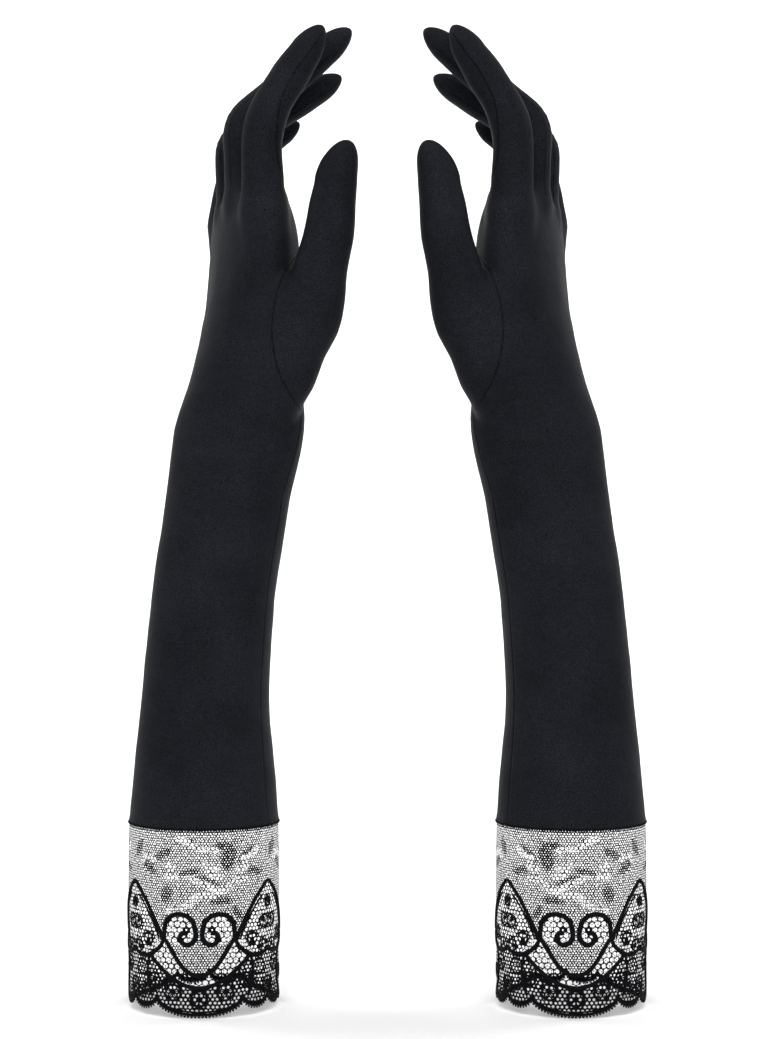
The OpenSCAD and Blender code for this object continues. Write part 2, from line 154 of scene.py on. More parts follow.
@dataclass
class ArmShape:
    """Sleeve, wrist and palm: an oval section that leans, swells and turns with height. Sizes in mm."""

    cuff_x: float
    cuff_height: float = 83.5
    sleeve_length: float = 151.0
    wrist_zone: float = 40.0
    palm_length: float = 93.6
    cuff_width: float = 69.0
    cuff_depth: float = 63.0
    forearm_width: float = 59.0
    forearm_depth: float = 55.5
    wrist_width: float = 60.0
    wrist_depth: float = 50.5
    arm_lean: float = 16.3
    palm_thickness: float = 31.0
    palm_turn: float = 20.0
    finger_pitch: float = 18.0

    def __post_init__(self) -> None:
        """Works out the zone heights and a fine table of sections, by the Catmull-Rom rule."""
        self.sleeve_top = self.cuff_height + self.sleeve_length
        self.palm_start = self.sleeve_top + self.wrist_zone
        self.knuckle_height = self.palm_start + self.palm_length
        self.wrist_x = self.cuff_x + self.arm_lean
        self.knuckle_x = self.wrist_x + 4.2
        self.knuckle_half = 2.14 * self.finger_pitch
        c, s, p, n = self.cuff_height, self.sleeve_length, self.palm_start, self.palm_length
        x, lean, w, d = self.cuff_x, self.arm_lean, self.forearm_width / 2, self.forearm_depth / 2
        t, k, turn = self.palm_thickness, self.knuckle_half, self.palm_turn
        rows = [
            (0, x, self.cuff_width / 2, self.cuff_depth / 2 + 0.5, 0),
            (c, x, self.cuff_width / 2 - 0.1, self.cuff_depth / 2 - 0.5, 0),
            (c + 0.36 * s, x + 0.04 * lean, w + 0.2, d, 0),
            (c + 0.68 * s, x + 0.26 * lean, w - 0.7, d - 1.2, 0),
            (self.sleeve_top - 3, x + 0.66 * lean, w - 0.7, self.wrist_depth / 2, 0),
            (p - 0.25 * self.wrist_zone, self.wrist_x, self.wrist_width / 2 + 0.1, self.wrist_depth / 2, 0),
            (p + 0.13 * n, self.wrist_x + 3, 0.84 * t, 0.76 * k, 0.3 * turn),
            (p + 0.41 * n, self.wrist_x + 5.7, 0.73 * t, 0.89 * k, 0.6 * turn),
            (p + 0.62 * n, self.wrist_x + 6.2, 0.63 * t, 0.97 * k, 0.8 * turn),
            (p + 0.79 * n, self.wrist_x + 6.2, 0.56 * t, k, 0.95 * turn),
            (self.knuckle_height, self.knuckle_x, 0.42 * t, 0.99 * k, turn),
        ]
        table = np.array(rows, float)
        ends = np.vstack([table[:1], table, table[-1:]])
        z = np.linspace(0, table[-1, 0], 900)
        i = np.clip(np.searchsorted(table[:, 0], z, side="right") - 1, 0, len(table) - 2)
        f = ((z - table[i, 0]) / (table[i + 1, 0] - table[i, 0]))[:, None]
        a, b, e, g = (ends[i + j, 1:] for j in range(4))
        self._z = z
        self._rows = b + 0.5 * f * (e - a + f * (2 * a - 5 * b + 4 * e - g + f * (3 * (b - e) + g - a)))

    def section(self, z: Array) -> tuple[Array, Array, Array, Array]:
        """The section at some heights.

        Args:
            z: Heights, in mm.

        Returns:
            Centre x, half thickness, half width and turn in radians.
        """
        x, t, w, turn = (np.interp(z, self._z, self._rows[:, k]) for k in range(4))
        return x, t, w, np.radians(turn)

    def point(self, angle: Array, z: Array, proud: float | Array = 0.0) -> Array:
        """A point on the section: the oval's half axes times the angle's cosine and sine, turned.

        Args:
            angle: Angle round the arm in degrees, 0 towards the palm and -90 towards the thumb.
            z: Height, in mm.
            proud: Distance outside the cloth, in mm.

        Returns:
            Points, one row each.
        """
        x, t, w, turn = self.section(z)
        u = (t + proud) * np.cos(np.radians(angle))
        v = (w + proud) * np.sin(np.radians(angle))
        return np.stack([x + u * np.cos(turn) - v * np.sin(turn), u * np.sin(turn) + v * np.cos(turn), z], -1)

    def distance(self, p: Array) -> Array:
        """Distance to the arm: the oval's own measure less 1, over the length of its slope.

        Args:
            p: Points, one row each.

        Returns:
            Distances in mm, exact near the surface.
        """
        x, t, w, turn = self.section(p[:, 2])
        above = np.maximum(p[:, 2] - self.knuckle_height, 0.0)
        x = x + 0.1 * above
        dx = p[:, 0] - x
        u = dx * np.cos(turn) + p[:, 1] * np.sin(turn)
        v = -dx * np.sin(turn) + p[:, 1] * np.cos(turn)
        k = np.sqrt((u / t) ** 2 + (v / w) ** 2)
        slope = np.sqrt((u / t**2) ** 2 + (v / w**2) ** 2)
        return (k - 1.0) * k / np.maximum(slope, 1e-4)


@dataclass
class FingerShape:
    """One finger stall: a rounded tube along a line that bends at the middle joint. Sizes in mm."""

    name: str
    side: float
    base_x: float
    base_z: float
    length: float
    first_bend: float
    last_bend: float
    joint: float
    softness: float
    thickness: float
    width: float
    knuckle: float = 0.05
    root: float = 26.0
    steps: int = 46

    def __post_init__(self) -> None:
        """Runs the centre line up from its root inside the hand, in short steps."""
        self.cap = 0.68 * self.thickness
        s = np.linspace(-self.root, self.length - self.cap, self.steps + 1)
        angle = self.bend((s[1:] + s[:-1]) / 2)
        step = np.diff(s)
        x = np.concatenate([[0.0], np.cumsum(np.sin(angle) * step)])
        z = np.concatenate([[0.0], np.cumsum(np.cos(angle) * step)])
        x += self.base_x - np.interp(0.0, s, x)
        z += self.base_z - np.interp(0.0, s, z)
        self.s, self.line, self.angle = s, np.column_stack([x, z]), angle

    def bend(self, s: Array) -> Array:
        """Angle of the centre line from upright, easing from the first bend to the last.

        Args:
            s: Distances along the line, in mm.

        Returns:
            Angles in radians.
        """
        share = smooth_step((s / self.length - self.joint + self.softness) / (2 * self.softness))
        return np.radians(self.first_bend + (self.last_bend - self.first_bend) * share)

    def halves(self, s: Array) -> tuple[Array, Array]:
        """Half thickness and half width along the line: tapering, with a little swelling at the joint.

        Args:
            s: Distances along the line, in mm, below zero inside the hand.

        Returns:
            Half thickness and half width, in mm.
        """
        q = np.clip(s / self.length, 0.0, 1.0)
        knob = 0.045 * np.exp(-(((q - self.joint) / 0.1) ** 2)) + 0.03 * np.exp(-(((q - 0.72) / 0.07) ** 2))
        root = 1.0 + 0.55 * np.minimum(s, 0.0) / self.root
        slim = 1 - 0.26 * q - 0.13 * np.clip((q - 0.62) / 0.38, 0.0, 1.0) ** 2
        knob = knob + self.knuckle * np.exp(-(((s - 2.0) / 7.0) ** 2))
        thick = self.thickness / 2 * (slim + knob) * root
        return thick, self.width / 2 * (slim + 0.04 * q + 0.6 * knob) * root

    def distance(self, p: Array) -> Array:
        """Distance to the stall, from a rounded measure of thickness, width and the part past the tip.

        Args:
            p: Points, one row each.

        Returns:
            Distances in mm, exact near the surface.
        """
        q = p[:, [0, 2]]
        way = np.column_stack([np.sin(self.angle), np.cos(self.angle)])
        lengths = np.diff(self.s)
        best = np.full(len(p), 1e9)
        s, u = np.zeros(len(p)), np.zeros(len(p))
        for i in range(self.steps):
            d = q - self.line[i]
            along = d @ way[i]
            free = along if i == self.steps - 1 else np.minimum(along, lengths[i])
            held = np.maximum(free, 0.0)
            off = np.where(held > lengths[i], along - lengths[i], along - held)
            aside = d[:, 0] * way[i, 1] - d[:, 1] * way[i, 0]
            far = aside**2 + np.where(held > lengths[i], 0.0, off) ** 2
            new = far < best
            best = np.where(new, far, best)
            s = np.where(new, self.s[i] + held, s)
            u = np.where(new, aside, u)
        a, b = self.halves(s)
        past = np.maximum(s - self.s[-1], 0.0) / (self.cap + 0.01)
        n = 2.15
        ring = (np.abs(u / a) ** n + np.abs((p[:, 1] - self.side) / b) ** n) ** (1 / n)
        k = (ring**1.9 + past**1.9) ** (1 / 1.9)
        return (k - 1.0) * np.minimum(a, b)

    def seam(self, angle: float, first: float, last: float, count: int = 90) -> Array:
        """Points of a seam at one angle round the stall.

        Args:
            angle: In degrees; 0 faces the palm, 180 the back.
            first: Where it starts along the line, in mm.
            last: Where it ends.
            count: Number of points.

        Returns:
            Points near the skin, one row each.
        """
        s = np.linspace(first, last, count)
        x, z = (np.interp(s, self.s, self.line[:, k]) for k in range(2))
        bend = self.bend(s)
        a, b = self.halves(s)
        c, d = math.cos(math.radians(angle)), math.sin(math.radians(angle))
        u = a * np.sign(c) * abs(c) ** 0.9
        y = self.side + b * np.sign(d) * abs(d) ** 0.9
        return np.column_stack([x + u * np.cos(bend), y, z - u * np.sin(bend)])


@dataclass
class ThumbShape:
    """The thumb: an upright tube of ovals at each height that closes in a rounded tip. Sizes in mm."""

    rows: tuple[tuple[float, float, float, float, float], ...] = (
        # height, centre x, centre y, half thickness, half width
        (258, -53.0, -9.0, 3.0, 3.0),
        (268, -49.0, -12.5, 5.0, 5.5),
        (276, -45.6, -17.0, 7.2, 8.0),
        (284, -43.5, -20.5, 10.2, 10.0),
        (296, -41.6, -24.0, 13.1, 11.5),
        (308, -37.3, -27.5, 15.2, 12.6),
        (320, -33.9, -30.5, 14.6, 12.6),
        (334, -30.6, -35.0, 12.7, 11.8),
        (349, -26.6, -39.5, 11.5, 10.8),
        (363, -24.6, -42.5, 10.5, 10.0),
        (373, -23.0, -44.0, 9.5, 9.2),
    )
    cap: float = 18.6
    tip_shift: tuple[float, float] = (4.6, -1.6)

    def halves(self, z: Array) -> tuple[Array, Array, Array, Array]:
        """The oval at some heights, eased between the rows.

        Args:
            z: Heights, in mm.

        Returns:
            Centre x, centre y, half thickness and half width.
        """
        t = np.array(self.rows)
        curve = through([tuple(r) for r in t], 240)
        x, y, a, b = (np.interp(z, curve[:, 0], curve[:, k]) for k in (1, 2, 3, 4))
        return x, y, a, b

    def distance(self, p: Array) -> Array:
        """Distance to the thumb: the oval's measure at the point's height, rounded past the last row.

        Args:
            p: Points, one row each.

        Returns:
            Distances in mm, exact near the surface.
        """
        x, y, a, b = self.halves(p[:, 2])
        past = np.maximum(p[:, 2] - self.rows[-1][0], 0.0) / self.cap
        x = x + self.tip_shift[0] * past**1.5
        y = y + self.tip_shift[1] * past
        k = np.sqrt(((p[:, 0] - x) / a) ** 2 + ((p[:, 1] - y) / b) ** 2 + past**2)
        below = np.maximum(self.rows[0][0] - p[:, 2], 0.0)
        return (k - 1.0) * np.minimum(a, b) + below


@dataclass
class HandField:
    """The whole skin of one glove above its sleeve, as a field of distances."""

    arm: ArmShape
    thumb: ThumbShape = field(default_factory=ThumbShape)
    web: float = 4.0
    palm_round: float = 7.0
    # fillet between thumb and hand: narrow in the crotch, wide over the mound, faded out at the heel
    crotch: float = 2.6
    mound: float = 17.0
    mound_top: float = 343.0
    mound_fade: float = 22.0
    heel: float = 262.0
    heel_fade: float = 34.0
    heel_share: float = 0.15
    # fleshy pad of the palm below the index finger: centre and half sizes
    pad: Place = (-53.4, -12.5, 350.5)
    pad_size: Place = (11.4, 12.0, 22.0)
    # how far a finger is felt below, beside and above its line
    reach_low: float = 14.0
    reach_side: float = 17.0
    reach_high: float = 16.0

    def __post_init__(self) -> None:
        """Places the four fingers on the knuckle line."""
        kx, kz, pitch = self.arm.knuckle_x, self.arm.knuckle_height, self.arm.finger_pitch
        self.fingers = [
            FingerShape("index", -1.5 * pitch, kx + 8.5, kz - 7.2, 93.0, -1.5, 33.4, 0.46, 0.2, 20, 17.4),
            FingerShape("middle", -0.5 * pitch, kx - 0.9, kz - 0.8, 103.6, -3.2, 49.4, 0.36, 0.09, 18, 17.4),
            FingerShape("ring", 0.5 * pitch, kx - 7.1, kz - 4.4, 94.4, -2.4, 58.9, 0.37, 0.09, 16.5, 17.4),
            FingerShape(
                "little", 1.42 * pitch, kx - 13.2, kz - 6.6, 66.0, 5.0, 54.0, 0.38, 0.24, 14, 14.6, 0.11
            ),
        ]

    def hand_top(self, y: Array) -> Array:
        """Height at which the palm gives way to the fingers.

        Args:
            y: Places along the knuckle line, in mm.

        Returns:
            Heights in mm.
        """
        index, middle, ring, little = self.fingers
        webs = [(g.side + h.side) / 2 for g, h in zip(self.fingers, self.fingers[1:])]
        edge = 9
        sides = [index.side - edge, index.side, *webs, little.side + edge]
        rises = [(index, 5), (index, 9), (middle, 7.5), (ring, 8.5), (little, 5), (little, -4)]
        return np.interp(y, sides, [finger.base_z + rise for finger, rise in rises])

    def hand(self, p: Array) -> Array:
        """Distance to the arm and palm without fingers: the arm, closed over at the knuckles, and its pad.

        Args:
            p: Points, one row each.

        Returns:
            Distances in mm.
        """
        top = p[:, 2] - self.hand_top(p[:, 1])
        palm = -smooth_min(-self.arm.distance(p), -top, self.palm_round)
        measure = np.sqrt((((p - np.array(self.pad)) / np.array(self.pad_size)) ** 2).sum(1))
        return smooth_min(palm, (measure - 1.0) * self.pad_size[0], self.palm_round)

    def parts(self, p: Array) -> Array:
        """Distances to each part, far values where a part is out of reach.

        Args:
            p: Points, one row each.

        Returns:
            Six columns: hand, four fingers and thumb.
        """
        out = np.full((len(p), 6), FAR)
        out[:, 0] = self.hand(p)
        for k, f in enumerate(self.fingers):
            low, high = f.line.min(0) - self.reach_low, f.line.max(0) + self.reach_high
            near = (np.abs(p[:, 1] - f.side) < self.reach_side) & (p[:, 0] > low[0]) & (p[:, 0] < high[0])
            near &= (p[:, 2] > low[1]) & (p[:, 2] < high[1])
            if near.any():
                out[near, k + 1] = f.distance(p[near])
        out[:, 5] = self.thumb.distance(p)
        return out

    def distance(self, p: Array) -> Array:
        """Distance to the joined skin: the palm meets fingers and thumb with soft webs.

        Args:
            p: Points, one row each.

        Returns:
            Distances in mm; the fingers aren't softened into each other.
        """
        d = self.parts(p)
        fingers = d[:, 1:5].min(1)
        body = smooth_min(d[:, 0], fingers, self.web)
        z = p[:, 2]
        reach = self.crotch + (self.mound - self.crotch) * smooth_step((self.mound_top - z) / self.mound_fade)
        above = smooth_step((z - self.heel) / self.heel_fade)
        reach = reach * (self.heel_share + (1 - self.heel_share) * above)
        return smooth_min(body, d[:, 5], reach)

    def slope(self, p: Array, step: float = 0.25) -> Array:
        """Gradient of the joined field by central differences.

        Args:
            p: Points, one row each.
            step: Half the difference's length, in mm.

        Returns:
            One gradient for each point.
        """
        out = np.empty_like(p)
        for k in range(3):
            d = np.zeros(3)
            d[k] = step
            out[:, k] = (self.distance(p + d) - self.distance(p - d)) / (2 * step)
        return out

    def settle(self, p: Array, rounds: int = 3) -> Array:
        """Moves points onto the skin by Newton steps along the slope.

        Args:
            p: Points near the skin.
            rounds: Number of steps.

        Returns:
            The moved points.
        """
        q = p.copy()
        for _ in range(rounds):
            g = self.slope(q)
            q -= (self.distance(q) / np.maximum((g * g).sum(1), 0.05))[:, None] * g
        return q

    def from_front(self, xz: Array) -> Array:
        """Finds the skin straight behind each point of a front view.

        Args:
            xz: Places across and up, in mm.

        Returns:
            Points on the thumb's side of the skin.
        """
        start, steps = -75.0, 60
        p = np.column_stack([xz[:, 0], np.full(len(xz), start), xz[:, 1]])
        for _ in range(steps):
            p[:, 1] += np.clip(self.distance(p), -0.4, 4.0) * 0.7
        return p


def quad_net(field_shape: HandField, low: Array, high: Array, pitch: float) -> tuple[Array, Array]:
    """Draws a net of quads over a field's zero surface: one point in each lattice cell that it crosses.

    Args:
        field_shape: The field.
        low: Lowest corner of the lattice, in mm.
        high: Highest corner of the lattice.
        pitch: Lattice pitch.

    Returns:
        Points on the surface, and quads that face outwards.
    """
    axes = [np.arange(low[k], high[k] + pitch, pitch) for k in range(3)]
    shape = tuple(len(a) for a in axes)
    coarse, margin = 4, 1.9
    grid = np.full(shape, FAR, np.float32)
    mids = np.stack(np.meshgrid(*[a[coarse // 2 :: coarse] for a in axes], indexing="ij"), -1)
    near = field_shape.distance(mids.reshape(-1, 3)).reshape(mids.shape[:3])
    keep = np.abs(near) < pitch * coarse * margin
    keep = np.repeat(np.repeat(np.repeat(keep, coarse, 0), coarse, 1), coarse, 2)
    sign = np.repeat(np.repeat(np.repeat(np.sign(near), coarse, 0), coarse, 1), coarse, 2)
    pad = [(0, max(0, shape[k] - keep.shape[k])) for k in range(3)]
    keep = np.pad(keep, pad, mode="edge")[: shape[0], : shape[1], : shape[2]]
    grid[:] = np.pad(sign, pad, mode="edge")[: shape[0], : shape[1], : shape[2]] * FAR
    at = np.argwhere(keep)
    points = np.column_stack([axes[k][at[:, k]] for k in range(3)])
    grid[keep] = field_shape.distance(points)
    inside = grid < 0
    corners = [inside[i : shape[0] - 1 + i, j : shape[1] - 1 + j, k : shape[2] - 1 + k]
               for i in (0, 1) for j in (0, 1) for k in (0, 1)]
    crossed = np.logical_or.reduce(corners) & ~np.logical_and.reduce(corners)
    index = np.full(crossed.shape, -1)
    cells = np.argwhere(crossed)
    index[crossed] = np.arange(len(cells))
    middle = np.asarray(low) + (cells + 0.5) * pitch
    quads = []
    for axis in range(3):
        j, k = (axis + 1) % 3, (axis + 2) % 3
        a = np.moveaxis(inside, (axis, j, k), (0, 1, 2))
        cell = np.moveaxis(index, (axis, j, k), (0, 1, 2))
        change = a[:-1, 1:-1, 1:-1] != a[1:, 1:-1, 1:-1]
        i0, j0, k0 = np.nonzero(change)
        outward = a[i0, j0 + 1, k0 + 1]
        ring = [(0, 0), (1, 0), (1, 1), (0, 1)]
        q = np.column_stack([cell[i0, j0 + dj, k0 + dk] for dj, dk in ring])
        q[~outward] = q[~outward][:, ::-1]
        quads.append(q)
    return field_shape.settle(middle), np.vstack(quads)


def relax(points: Array, quads: Array, rounds: int, share: float) -> Array:
    """Evens out a net: each point moves a share of the way to the mean of its neighbours, each round.

    Args:
        points: The net's points.
        quads: Its quads.
        rounds: Number of rounds.
        share: Share of the way.

    Returns:
        The moved points.
    """
    edges = np.vstack([quads[:, [i, (i + 1) % 4]] for i in range(4)])
    ends = np.concatenate([edges[:, 0], edges[:, 1]])
    others = np.concatenate([edges[:, 1], edges[:, 0]])
    count = np.maximum(np.bincount(ends, minlength=len(points)), 1)
    p = points.copy()
    for _ in range(rounds):
        mean = np.column_stack([np.bincount(ends, p[others, k], len(p)) for k in range(3)]) / count[:, None]
        p += (mean - p) * share
    return p


# ---------------------------------------------------------------- meshes


@dataclass
class Workshop:
    """Puts worked-out arrays into Blender meshes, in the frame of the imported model."""

    set_back: float

    def piece(
        self,
        name: str,
        points: Array,
        faces: Array | list[Array],
        side: Side,
        material: bpy.types.Material,
        values: dict[str, Array] | None = None,
        normals: Array | None = None,
    ) -> bpy.types.Object:
        """Makes one object from points in mm.

        Args:
            name: The object's name.
            points: One row for each point, for the left glove.
            faces: Faces of the left glove: one array of equal faces, or a list of such arrays.
            side: Mirrors the piece for the right glove.
            material: Its finish.
            values: Named values for the points, stored as attributes.
            normals: Smooth normals of the points.

        Returns:
            The object, linked to the scene.
        """
        sign = np.array([side.value, 1.0, 1.0])
        co = (points + np.array([0.0, self.set_back, 0.0])) * sign * MM
        groups = faces if isinstance(faces, list) else [faces]
        groups = [g[:, ::-1] if side is Side.RIGHT else g for g in groups if len(g)]
        loops = np.concatenate([g.ravel() for g in groups]).astype(np.int32)
        sizes = np.concatenate([np.full(len(g), g.shape[1]) for g in groups])
        mesh = bpy.data.meshes.new(name)
        mesh.vertices.add(len(co))
        mesh.vertices.foreach_set("co", co.astype(np.float32).ravel())
        mesh.loops.add(len(loops))
        mesh.loops.foreach_set("vertex_index", loops)
        mesh.polygons.add(len(sizes))
        mesh.polygons.foreach_set("loop_start", np.concatenate([[0], np.cumsum(sizes)[:-1]]).astype(np.int32))
        mesh.update(calc_edges=True)
        mesh.validate()
        for key, value in (values or {}).items():
            layer = mesh.attributes.new(key, "FLOAT", "POINT")
            layer.data.foreach_set("value", np.asarray(value, np.float32))
        mesh.polygons.foreach_set("use_smooth", np.ones(len(mesh.polygons), bool))
        if normals is not None:
            mesh.normals_split_custom_set_from_vertices((normals * sign).tolist())
        mesh.materials.append(material)
        piece = bpy.data.objects.new(name, mesh)
        bpy.context.scene.collection.objects.link(piece)
        log.info("%s: %d faces", name, len(sizes))
        return piece


def strip_grid(rows: int, cols: int, wrap: bool) -> Array:
    """Quads of a grid whose points run along its rows, facing out where columns turn anticlockwise.

    Args:
        rows: Number of rows.
        cols: Number of points in a row.
        wrap: Joins each row's ends.

    Returns:
        Quads.
    """
    r, c = np.meshgrid(np.arange(rows - 1), np.arange(cols if wrap else cols - 1), indexing="ij")
    a = (r * cols + c).ravel()
    b = (r * cols + (c + 1) % cols).ravel()
    return np.column_stack([a, b, b + cols, a + cols])


# ---------------------------------------------------------------- finishes


class Graph:
    """A short way to lay out shader nodes in one tree."""

    def __init__(self, tree: bpy.types.NodeTree) -> None:
        """Starts with the given tree."""
        self.tree = tree

    def add(self, kind: str, settings: dict | None = None, **inputs: object) -> bpy.types.Node:
        """Adds a node.

        Args:
            kind: The node's type.
            settings: Properties of the node.
            **inputs: Values or sockets for its inputs; an underscore stands for a space, i0 for a place.

        Returns:
            The node.
        """
        node = self.tree.nodes.new(kind)
        for key, value in (settings or {}).items():
            setattr(node, key, value)
        for key, value in inputs.items():
            place = int(key[1:]) if key[0] == "i" and key[1:].isdigit() else key.replace("_", " ")
            if isinstance(value, bpy.types.NodeSocket):
                self.tree.links.new(value, node.inputs[place])
            else:
                node.inputs[place].default_value = value
        return node

    def math(self, operation: str, a: object, b: object = 0.0) -> bpy.types.NodeSocket:
        """One Math node's result."""
        return self.add("ShaderNodeMath", {"operation": operation}, i0=a, i1=b).outputs[0]

    def between(
        self, value: object, low: float, high: float, to_low: float, to_high: float
    ) -> bpy.types.NodeSocket:
        """A value carried from one range to another with soft ends.

        Args:
            value: The socket or number that is carried.
            low: Start of its range.
            high: End of its range.
            to_low: Start of the new range.
            to_high: End of the new range.

        Returns:
            The carried value's socket.
        """
        node = self.add("ShaderNodeMapRange", {"interpolation_type": "SMOOTHSTEP"}, i0=value, i1=low, i2=high)
        node.inputs[3].default_value = to_low
        node.inputs[4].default_value = to_high
        return node.outputs[0]


def cloth_grain_group() -> bpy.types.NodeTree:
    """The grain of a knitted or woven cloth: fine specks, a slight rib and slow patches.

    Returns:
        A node group that puts out Speck, Height and Patch, each from 0 to 1.
    """
    tree = bpy.data.node_groups.new("cloth grain", "ShaderNodeTree")
    number = "NodeSocketFloat"
    tree.interface.new_socket("Fineness", in_out="INPUT", socket_type=number).default_value = 2300.0
    tree.interface.new_socket("Rib", in_out="INPUT", socket_type=number).default_value = 0.4
    for name in ("Speck", "Height", "Patch"):
        tree.interface.new_socket(name, in_out="OUTPUT", socket_type=number)
    g = Graph(tree)
    inputs = g.add("NodeGroupInput")
    place = g.add("ShaderNodeTexCoord").outputs["Object"]
    fineness = inputs.outputs["Fineness"]
    speck = g.add("ShaderNodeTexNoise", Vector=place, Scale=fineness, Detail=2.0, Roughness=0.65)
    fine = g.math("MULTIPLY", fineness, 2.4)
    knit = g.add("ShaderNodeTexVoronoi", Vector=place, Scale=fine)
    split = g.add("ShaderNodeSeparateXYZ", Vector=place)
    rib_way = g.math("MULTIPLY", split.outputs["Z"], 6800.0)
    rib = g.between(g.math("SINE", rib_way), -1.0, 1.0, 0.0, 1.0)
    patch = g.add("ShaderNodeTexNoise", Vector=place, Scale=32.0, Detail=3.0, Roughness=0.5)
    ribbed = g.math("MULTIPLY", rib, inputs.outputs["Rib"])
    knots = g.math("ADD", g.math("MULTIPLY", knit.outputs["Distance"], 0.7), ribbed)
    height = g.math("ADD", g.math("MULTIPLY", speck.outputs[0], 0.6), knots)
    out = g.add("NodeGroupOutput")
    tree.links.new(g.between(speck.outputs[0], 0.36, 0.66, 0.0, 1.0), out.inputs["Speck"])
    tree.links.new(height, out.inputs["Height"])
    tree.links.new(patch.outputs[0], out.inputs["Patch"])
    return tree


@dataclass(frozen=True)
class SatinFinish:
    """Black stretch satin: a blue-black ground with pale specks, a soft gloss, and pressed-in seams with
    painted shade in their grooves.
    """

    dark: tuple[float, float, float] = (0.0038, 0.0044, 0.0058)
    light: tuple[float, float, float] = (0.0195, 0.0215, 0.0268)
    roughness: float = 0.5
    grain: float = 0.55
    gloss: float = 0.02

    def make(self, grain: bpy.types.NodeTree) -> bpy.types.Material:
        """Builds the material.

        Args:
            grain: The shared cloth grain.

        Returns:
            The material; a piece's seam attribute gives the distance to its nearest seam, in mm.
        """
        material = bpy.data.materials.new("satin")
        material.use_nodes = True
        g = Graph(material.node_tree)
        g.tree.nodes.clear()
        cloth = g.add("ShaderNodeGroup", {"node_tree": grain}, Fineness=3100.0, Rib=0.3)
        seam = g.add("ShaderNodeAttribute", {"attribute_name": "seam"}).outputs["Fac"]
        ground = g.add("ShaderNodeMix", {"data_type": "RGBA"}, i0=cloth.outputs["Speck"])
        ground.inputs[6].default_value = (*self.dark, 1)
        ground.inputs[7].default_value = (*self.light, 1)
        patch = g.between(cloth.outputs["Patch"], 0.35, 0.65, 0.86, 1.12)
        # painted shade along the seams: the colour falls to 0.3 of itself in each seam's groove
        line = g.between(seam, 0.1, 0.75, 0.3, 1.0)
        tone = g.math("MULTIPLY", patch, line)
        colour = g.add("ShaderNodeVectorMath", {"operation": "SCALE"}, i0=ground.outputs[2])
        g.tree.links.new(tone, colour.inputs["Scale"])
        rough = g.math("ADD", g.math("MULTIPLY", cloth.outputs["Speck"], 0.12), self.roughness - 0.05)
        small = g.add("ShaderNodeBump", Strength=self.grain, Distance=0.00012, Height=cloth.outputs["Height"])
        ridge = g.math("MULTIPLY", g.between(seam, 0.8, 2.6, 1.0, 0.0), 0.35)
        groove = g.math("ADD", g.between(seam, 0.0, 0.8, 0.0, 1.0), ridge)
        bump = g.add("ShaderNodeBump", Strength=0.9, Distance=0.0004, Height=groove, Normal=small.outputs[0])
        shader = g.add("ShaderNodeBsdfPrincipled", Base_Color=colour.outputs[0], Roughness=rough,
                       Normal=bump.outputs[0])
        shader.inputs["Specular IOR Level"].default_value = self.gloss
        out = g.add("ShaderNodeOutputMaterial")
        g.tree.links.new(shader.outputs[0], out.inputs["Surface"])
        return material


@dataclass(frozen=True)
class ThreadFinish:
    """Matt black thread, for lace and sewing."""

    name: str
    colour: tuple[float, float, float] = (0.0042, 0.0044, 0.0055)
    roughness: float = 0.72
    twist: float = 5200.0
    gloss: float = 0.03

    def make(self, grain: bpy.types.NodeTree) -> bpy.types.Material:
        """Builds the material from the shared grain.

        Args:
            grain: The shared cloth grain.

        Returns:
            The material.
        """
        material = bpy.data.materials.new(self.name)
        material.use_nodes = True
        g = Graph(material.node_tree)
        g.tree.nodes.clear()
        cloth = g.add("ShaderNodeGroup", {"node_tree": grain}, Fineness=self.twist, Rib=0.1)
        colour = g.add("ShaderNodeMix", {"data_type": "RGBA"}, i0=cloth.outputs["Speck"])
        colour.inputs[6].default_value = (*[c * 0.6 for c in self.colour], 1)
        colour.inputs[7].default_value = (*[c * 1.7 for c in self.colour], 1)
        rough = g.math("ADD", g.math("MULTIPLY", cloth.outputs["Speck"], 0.15), self.roughness - 0.08)
        bump = g.add("ShaderNodeBump", Strength=0.5, Distance=0.00008, Height=cloth.outputs["Height"])
        shader = g.add("ShaderNodeBsdfPrincipled", Base_Color=colour.outputs[2], Roughness=rough,
                       Normal=bump.outputs[0])
        shader.inputs["Specular IOR Level"].default_value = self.gloss
        out = g.add("ShaderNodeOutputMaterial")
        g.tree.links.new(shader.outputs[0], out.inputs["Surface"])
        return material


@dataclass(frozen=True)
class Finishes:
    """The finishes of the gloves, made once."""

    satin: bpy.types.Material
    lace: bpy.types.Material
    cord: bpy.types.Material
    thread: bpy.types.Material


# ---------------------------------------------------------------- the hand


